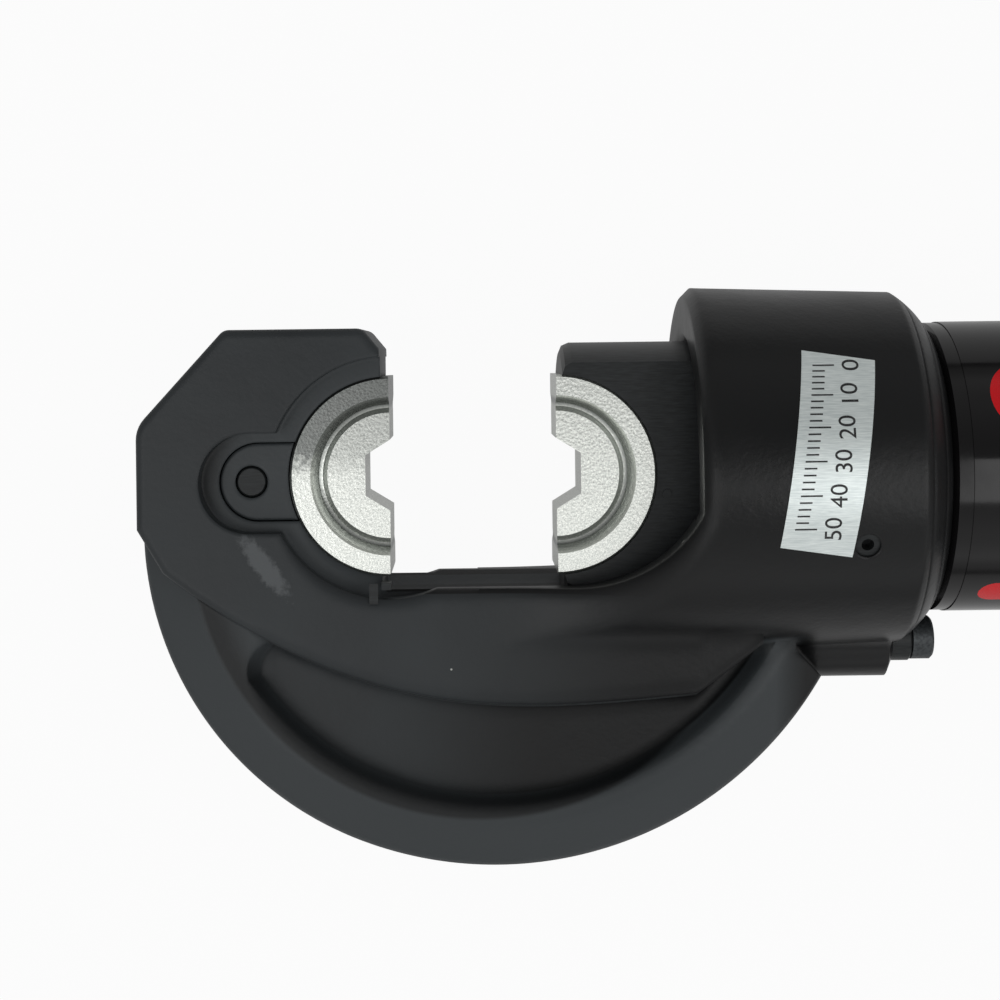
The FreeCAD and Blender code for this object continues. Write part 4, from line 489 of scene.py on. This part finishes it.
acetal, tree, shader = finish_of("ivory_acetal", "DDD5BC", 0.5)
place = add(tree, "ShaderNodeTexCoord")
cut = add(tree, "ShaderNodeTexNoise", {"Vector": place.outputs["Object"], "Scale": 600.0})
bump = add(tree, "ShaderNodeBump", {"Height": cut.outputs["Fac"], "Strength": 0.1,
                                    "Distance": 0.0002})
tree.links.new(bump.outputs["Normal"], shader.inputs["Normal"])
dress(acetal, "piston_wear_ring")


# Cylinder and handles: steel tube in gloss black stove enamel. The enamel lies in a very slight
# wave 8 mm long, and dust dulls it in patches 29 mm across.
enamel, tree, shader = finish_of("gloss_black_stove_enamel", "0B0A0B", 0.12)
shader.inputs["Specular IOR Level"].default_value = 0.32
place = add(tree, "ShaderNodeTexCoord")
wave = add(tree, "ShaderNodeTexNoise", {"Vector": place.outputs["Object"], "Scale": 120.0,
                                        "Detail": 2.0})
dust = add(tree, "ShaderNodeTexNoise", {"Vector": place.outputs["Object"], "Scale": 35.0,
                                        "Detail": 6.0})
shine = add(tree, "ShaderNodeMapRange", {"Value": dust.outputs["Fac"], "From Min": 0.35,
                                         "From Max": 0.75, "To Min": 0.1, "To Max": 0.24})
tree.links.new(shine.outputs[0], shader.inputs["Roughness"])
bump = add(tree, "ShaderNodeBump", {"Height": wave.outputs["Fac"], "Strength": 0.03,
                                    "Distance": 0.0008})
tree.links.new(bump.outputs["Normal"], shader.inputs["Normal"])
dress(enamel, "cylinder_body", "reservoir_tube", "handle_fork", "moving_handle_tube")


# Film: a glossy black plastic film wrapped round the cylinder, printed with two plain red bands
# that run along it and end round. Hands have smudged it in patches 25 mm across.
FILM_RADIUS = 0.0373
BANDS_END_X = 0.205
film, tree, shader = finish_of("gloss_black_film_with_red_bands", "0D0C0D", 0.08)
shader.inputs["Specular IOR Level"].default_value = 0.32
place = add(tree, "ShaderNodeTexCoord")
at = add(tree, "ShaderNodeSeparateXYZ", {0: place.outputs["Object"]})
turn = add(tree, "ShaderNodeMath", {0: at.outputs["Y"], 1: at.outputs["Z"]},
           operation="ARCTAN2")
bands = None
for middle_deg, half_width, start_x in ((30.4, 0.0102, 0.1464), (-54.2, 0.0042, 0.1455)):
    # A band is all that lies within half its width of its middle line, which runs between the
    # middles of its two round ends.
    across = add(tree, "ShaderNodeMath",
                 {0: turn.outputs[0], 1: FILM_RADIUS,
                  2: -math.radians(middle_deg) * FILM_RADIUS}, operation="MULTIPLY_ADD")
    before = add(tree, "ShaderNodeMath", {0: start_x + half_width, 1: at.outputs["X"]},
                 operation="SUBTRACT")
    before_or_on = add(tree, "ShaderNodeMath", {0: before.outputs[0], 1: 0.0},
                       operation="MAXIMUM")
    beyond = add(tree, "ShaderNodeMath", {0: at.outputs["X"], 1: BANDS_END_X - half_width},
                 operation="SUBTRACT")
    along = add(tree, "ShaderNodeMath", {0: beyond.outputs[0], 1: before_or_on.outputs[0]},
                operation="MAXIMUM")
    off_line = add(tree, "ShaderNodeCombineXYZ", {0: across.outputs[0], 1: along.outputs[0]})
    away = add(tree, "ShaderNodeVectorMath", {0: off_line.outputs[0]}, operation="LENGTH")
    band = add(tree, "ShaderNodeMath", {0: away.outputs["Value"], 1: half_width},
               operation="LESS_THAN")
    bands = band if bands is None else add(
        tree, "ShaderNodeMath", {0: bands.outputs[0], 1: band.outputs[0]}, operation="MAXIMUM")
printed = add(tree, "ShaderNodeMix", {0: bands.outputs[0], 6: linear("0D0C0D"),
                                      7: linear("C8000F")}, data_type="RGBA")
tree.links.new(printed.outputs[2], shader.inputs["Base Color"])
smudge = add(tree, "ShaderNodeTexNoise", {"Vector": place.outputs["Object"], "Scale": 40.0,
                                          "Detail": 5.0})
shine = add(tree, "ShaderNodeMapRange", {"Value": smudge.outputs["Fac"], "From Min": 0.35,
                                         "From Max": 0.75, "To Min": 0.07, "To Max": 0.2})
tree.links.new(shine.outputs[0], shader.inputs["Roughness"])
dress(film, "cylinder_film")


# Pump block: a bar of aluminium, milled on all sides and black anodised. The cutter's marks run
# across it, drawn 0.6 mm apart, because the real ones are too fine to show.
anodised, tree, shader = finish_of("black_anodised_aluminium", "202122", 0.4, 0.3)
place = add(tree, "ShaderNodeTexCoord")
lines = add(tree, "ShaderNodeMapping", {"Vector": place.outputs["Object"], "Scale": (6, 1, 1)})
cutter = add(tree, "ShaderNodeTexNoise", {"Vector": lines.outputs["Vector"], "Scale": 260.0,
                                          "Detail": 4.0})
tone = add(tree, "ShaderNodeValToRGB", {"Fac": cutter.outputs["Fac"]})
tone.color_ramp.elements[0].color = linear("1A1B1C")
tone.color_ramp.elements[0].position = 0.3
tone.color_ramp.elements[1].color = linear("292A2C")
tone.color_ramp.elements[1].position = 0.7
tree.links.new(tone.outputs["Color"], shader.inputs["Base Color"])
bump = add(tree, "ShaderNodeBump", {"Height": cutter.outputs["Fac"], "Strength": 0.12,
                                    "Distance": 0.0003})
tree.links.new(bump.outputs["Normal"], shader.inputs["Normal"])
dress(anodised, "pump_block")


# Gland nut, relief screw and filler plug: turned brass, screwed in. Hands have dulled it to a
# browner gold in patches 6 mm across.
brass, tree, shader = finish_of("turned_brass", "B5975A", 0.3, 1.0)
place = add(tree, "ShaderNodeTexCoord")
dulled = add(tree, "ShaderNodeTexNoise", {"Vector": place.outputs["Object"], "Scale": 180.0,
                                          "Detail": 5.0})
tone = add(tree, "ShaderNodeValToRGB", {"Fac": dulled.outputs["Fac"]})
tone.color_ramp.elements[0].color = linear("9A7B41")
tone.color_ramp.elements[0].position = 0.35
tone.color_ramp.elements[1].color = linear("C9AB6B")
tone.color_ramp.elements[1].position = 0.7
tree.links.new(tone.outputs["Color"], shader.inputs["Base Color"])
dress(brass, "gland_nut", "relief_screw", "filler_plug")


# Release knob, end cap and handle plug: moulded nylon, the knob red and pressed on its stem, the
# others black. The mould's fine skin is drawn 0.8 mm across, which is as fine as shows.
for name, colour, roughness, nodes in (
        ("moulded_red_nylon", "B00D12", 0.42, ["release_knob"]),
        ("moulded_black_nylon", "202021", 0.5, ["end_cap", "handle_end_plug"])):
    nylon, tree, shader = finish_of(name, colour, roughness)
    place = add(tree, "ShaderNodeTexCoord")
    skin = add(tree, "ShaderNodeTexNoise", {"Vector": place.outputs["Object"], "Scale": 1300.0})
    bump = add(tree, "ShaderNodeBump", {"Height": skin.outputs["Fac"], "Strength": 0.15,
                                        "Distance": 0.0002})
    tree.links.new(bump.outputs["Normal"], shader.inputs["Normal"])
    dress(nylon, *nodes)


# Collar label: silver foil under a clear matt varnish, stuck on the collar. Its brushed grain runs
# along the tool, in lines 4 mm long and 0.3 mm apart.
foil, tree, shader = finish_of("brushed_silver_foil", "D9E0DF", 0.38, 0.65)
place = add(tree, "ShaderNodeTexCoord")
lines = add(tree, "ShaderNodeMapping", {"Vector": place.outputs["Object"], "Scale": (1, 14, 14)})
brush = add(tree, "ShaderNodeTexNoise", {"Vector": lines.outputs["Vector"], "Scale": 260.0,
                                         "Detail": 3.0})
tone = add(tree, "ShaderNodeValToRGB", {"Fac": brush.outputs["Fac"]})
tone.color_ramp.elements[0].color = linear("CDD6D5")
tone.color_ramp.elements[0].position = 0.3
tone.color_ramp.elements[1].color = linear("EAF1EF")
tone.color_ramp.elements[1].position = 0.7
tree.links.new(tone.outputs["Color"], shader.inputs["Base Color"])
bump = add(tree, "ShaderNodeBump", {"Height": brush.outputs["Fac"], "Strength": 0.08,
                                    "Distance": 0.0002})
tree.links.new(bump.outputs["Normal"], shader.inputs["Normal"])
dress(foil, "collar_label")


# Scale on the label: a plain degree scale for turning the head, printed in black on the foil. The
# marks are 2 degrees apart round the collar, and every fifth is long and numbered. The ink is worn
# to grey in specks 0.8 mm across.
ink, tree, shader = finish_of("printed_black_ink", "1A1A1B", 0.5)
place = add(tree, "ShaderNodeTexCoord")
wear = add(tree, "ShaderNodeTexNoise", {"Vector": place.outputs["Object"], "Scale": 1200.0,
                                        "Detail": 4.0})
tone = add(tree, "ShaderNodeValToRGB", {"Fac": wear.outputs["Fac"]})
tone.color_ramp.elements[0].color = linear("151516")
tone.color_ramp.elements[0].position = 0.55
tone.color_ramp.elements[1].color = linear("4A4C4C")
tone.color_ramp.elements[1].position = 0.75
tree.links.new(tone.outputs["Color"], shader.inputs["Base Color"])

COLLAR_RADIUS = 0.0464
ABOVE_COLLAR = 0.06
# The label's left edge leans: its x at one y, and how much x grows with y.
LABEL_X, LABEL_Y, LABEL_LEAN = 0.0932, -0.0166, 0.151
MARK_INSET, MARK_WIDTH = 0.0026, 0.0004
LONG_MARK, SHORT_MARK = 0.0052, 0.003
NUMBER_INSET, NUMBER_SIZE = 0.0064, 0.0058
ZERO_AT, LAST_MARK, MARK_STEP, NUMBER_STEP = 35, 50, 2, 10
INK_THICKNESS = 0.00005
pieces = []
for degree in range(0, LAST_MARK + 1, MARK_STEP):
    angle = math.radians(ZERO_AT - degree)
    y = COLLAR_RADIUS * math.sin(angle)
    x = LABEL_X + (y - LABEL_Y) * LABEL_LEAN + MARK_INSET
    numbered = degree % NUMBER_STEP == 0
    mark_length = LONG_MARK if numbered else SHORT_MARK
    bpy.ops.object.select_all(action="DESELECT")
    bpy.ops.mesh.primitive_plane_add(size=1, location=(x + mark_length / 2, y, ABOVE_COLLAR))
    mark = bpy.context.object
    mark.scale = (mark_length, MARK_WIDTH * math.cos(angle), 1)
    bpy.ops.object.transform_apply(location=True, rotation=True, scale=True)
    pieces.append(mark)
    if numbered:
        bpy.ops.object.text_add(location=(x + NUMBER_INSET, y, ABOVE_COLLAR),
                                rotation=(0, 0, math.pi / 2))
        number = bpy.context.object
        number.data.body = str(degree)
        number.data.size = NUMBER_SIZE
        number.data.align_x = "CENTER"
        number.data.align_y = "TOP"
        bpy.ops.object.convert(target="MESH")
        bpy.ops.object.transform_apply(location=True, rotation=True, scale=True)
        pieces.append(bpy.context.object)
bpy.ops.object.select_all(action="DESELECT")
for piece in pieces:
    piece.select_set(True)
bpy.context.view_layer.objects.active = pieces[0]
bpy.ops.object.join()
scale = bpy.context.object
scale.name = "degree_scale_on_label"
lay = scale.modifiers.new("laid_on_the_foil", "SHRINKWRAP")
lay.wrap_method = "PROJECT"
lay.use_project_z = True
lay.use_negative_direction = True
lay.use_positive_direction = False
lay.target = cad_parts["collar_label"]
lay.offset = INK_THICKNESS
bpy.ops.object.modifier_apply(modifier="laid_on_the_foil")
scale.data.materials.clear()
scale.data.materials.append(ink)
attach(scale, "head")


# Grips: ribbed rubber sleeves pulled over the ends of both handles, with a thick collar in front
# that keeps the hand from sliding. They are moulded in one piece, matt, with dust in patches 17 mm
# across. The mould's fine skin is drawn 0.7 mm across, which is as fine as shows.
rubber, tree, shader = finish_of("moulded_black_rubber", "1A1A1B", 0.78)
place = add(tree, "ShaderNodeTexCoord")
dust = add(tree, "ShaderNodeTexNoise", {"Vector": place.outputs["Object"], "Scale": 60.0,
                                        "Detail": 5.0})
tone = add(tree, "ShaderNodeValToRGB", {"Fac": dust.outputs["Fac"]})
tone.color_ramp.elements[0].color = linear("161617")
tone.color_ramp.elements[0].position = 0.4
tone.color_ramp.elements[1].color = linear("262627")
tone.color_ramp.elements[1].position = 0.75
tree.links.new(tone.outputs["Color"], shader.inputs["Base Color"])
skin = add(tree, "ShaderNodeTexNoise", {"Vector": place.outputs["Object"], "Scale": 1400.0,
                                        "Detail": 2.0})
bump = add(tree, "ShaderNodeBump", {"Height": skin.outputs["Fac"], "Strength": 0.25,
                                    "Distance": 0.0003})
tree.links.new(bump.outputs["Normal"], shader.inputs["Normal"])

COLLAR_HEIGHT = 0.0026
RIB_PITCH = 0.0072
FIRST_GROOVE = 0.014
AFTER_LAST_GROOVE = 0.006
GROOVE_DEPTH = 0.0014
GROOVE_STATIONS = (0.0012, 0.0026, 0.0038)
# The wall has the grooves inside too, and this keeps them clear of the handle's tube.
ROOM_FOR_GROOVES = 0.0015
SOFT_EDGE = 0.0004
ON_STATION = 1e-5


def ribbed_grip(name, node, body, bore):
    """A grip in place of a plain CAD sleeve; rings gives its radius by distance from the front."""
    low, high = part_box(node)
    middle = (low + high) / 2
    length = high.x - low.x
    collar = (high.y - low.y) / 2
    radius = collar - COLLAR_HEIGHT
    bpy.ops.object.select_all(action="DESELECT")
    bpy.ops.mesh.primitive_cylinder_add(vertices=96, radius=radius, depth=length,
                                        end_fill_type="NOTHING", location=middle,
                                        rotation=(0, math.pi / 2, 0))
    grip = bpy.context.object
    grip.name = name
    bpy.ops.object.transform_apply(location=True, rotation=True, scale=True)
    rings = {0.0: collar - 0.0008, 0.001: collar, 0.005: collar, 0.0065: radius + 0.001}
    grooves = int((length - AFTER_LAST_GROOVE - FIRST_GROOVE) / RIB_PITCH)
    for groove in range(grooves):
        start = FIRST_GROOVE + groove * RIB_PITCH
        slope, floor, end = GROOVE_STATIONS
        rings.update({start: radius, start + slope: radius - GROOVE_DEPTH,
                      start + floor: radius - GROOVE_DEPTH, start + end: radius})
    rings.update({length - 0.0012: radius, length: radius - 0.001})

    bpy.ops.object.mode_set(mode="EDIT")
    for station in rings:
        if 0 < station < length:
            bpy.ops.mesh.select_all(action="SELECT")
            bpy.ops.mesh.bisect(plane_co=(low.x + station, 0, 0), plane_no=(1, 0, 0))
    bpy.ops.mesh.select_mode(type="VERT")
    for station, wide in rings.items():
        bpy.ops.mesh.select_all(action="DESELECT")
        mesh = bmesh.from_edit_mesh(grip.data)
        for vertex in mesh.verts:
            vertex.select_set(abs(vertex.co.x - low.x - station) < ON_STATION)
        mesh.select_flush_mode()
        bmesh.update_edit_mesh(grip.data)
        bpy.ops.transform.resize(value=(1, wide / radius, wide / radius),
                                 center_override=(low.x + station, middle.y, middle.z))
    bpy.ops.mesh.select_all(action="SELECT")
    bpy.ops.mesh.remove_doubles(threshold=1e-6)
    bpy.ops.object.mode_set(mode="OBJECT")

    wall = grip.modifiers.new("wall", "SOLIDIFY")
    wall.thickness = radius - ROOM_FOR_GROOVES - bore
    wall.offset = -1
    bpy.ops.object.modifier_apply(modifier="wall")
    edges = grip.modifiers.new("soft_edges", "BEVEL")
    edges.width = SOFT_EDGE
    edges.segments = 2
    edges.angle_limit = math.radians(25)
    bpy.ops.object.modifier_apply(modifier="soft_edges")
    grip.data.materials.append(rubber)
    bpy.ops.object.shade_smooth_by_angle(angle=math.radians(35))
    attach(grip, body)
    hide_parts(node)


ribbed_grip("ribbed_grip_on_fixed_handle", "fixed_grip", "tool_body", 0.019)
ribbed_grip("ribbed_grip_on_pump_handle", "moving_grip", "pump_handle", 0.011)


# The view layer is brought up to date.
bpy.context.view_layer.update()
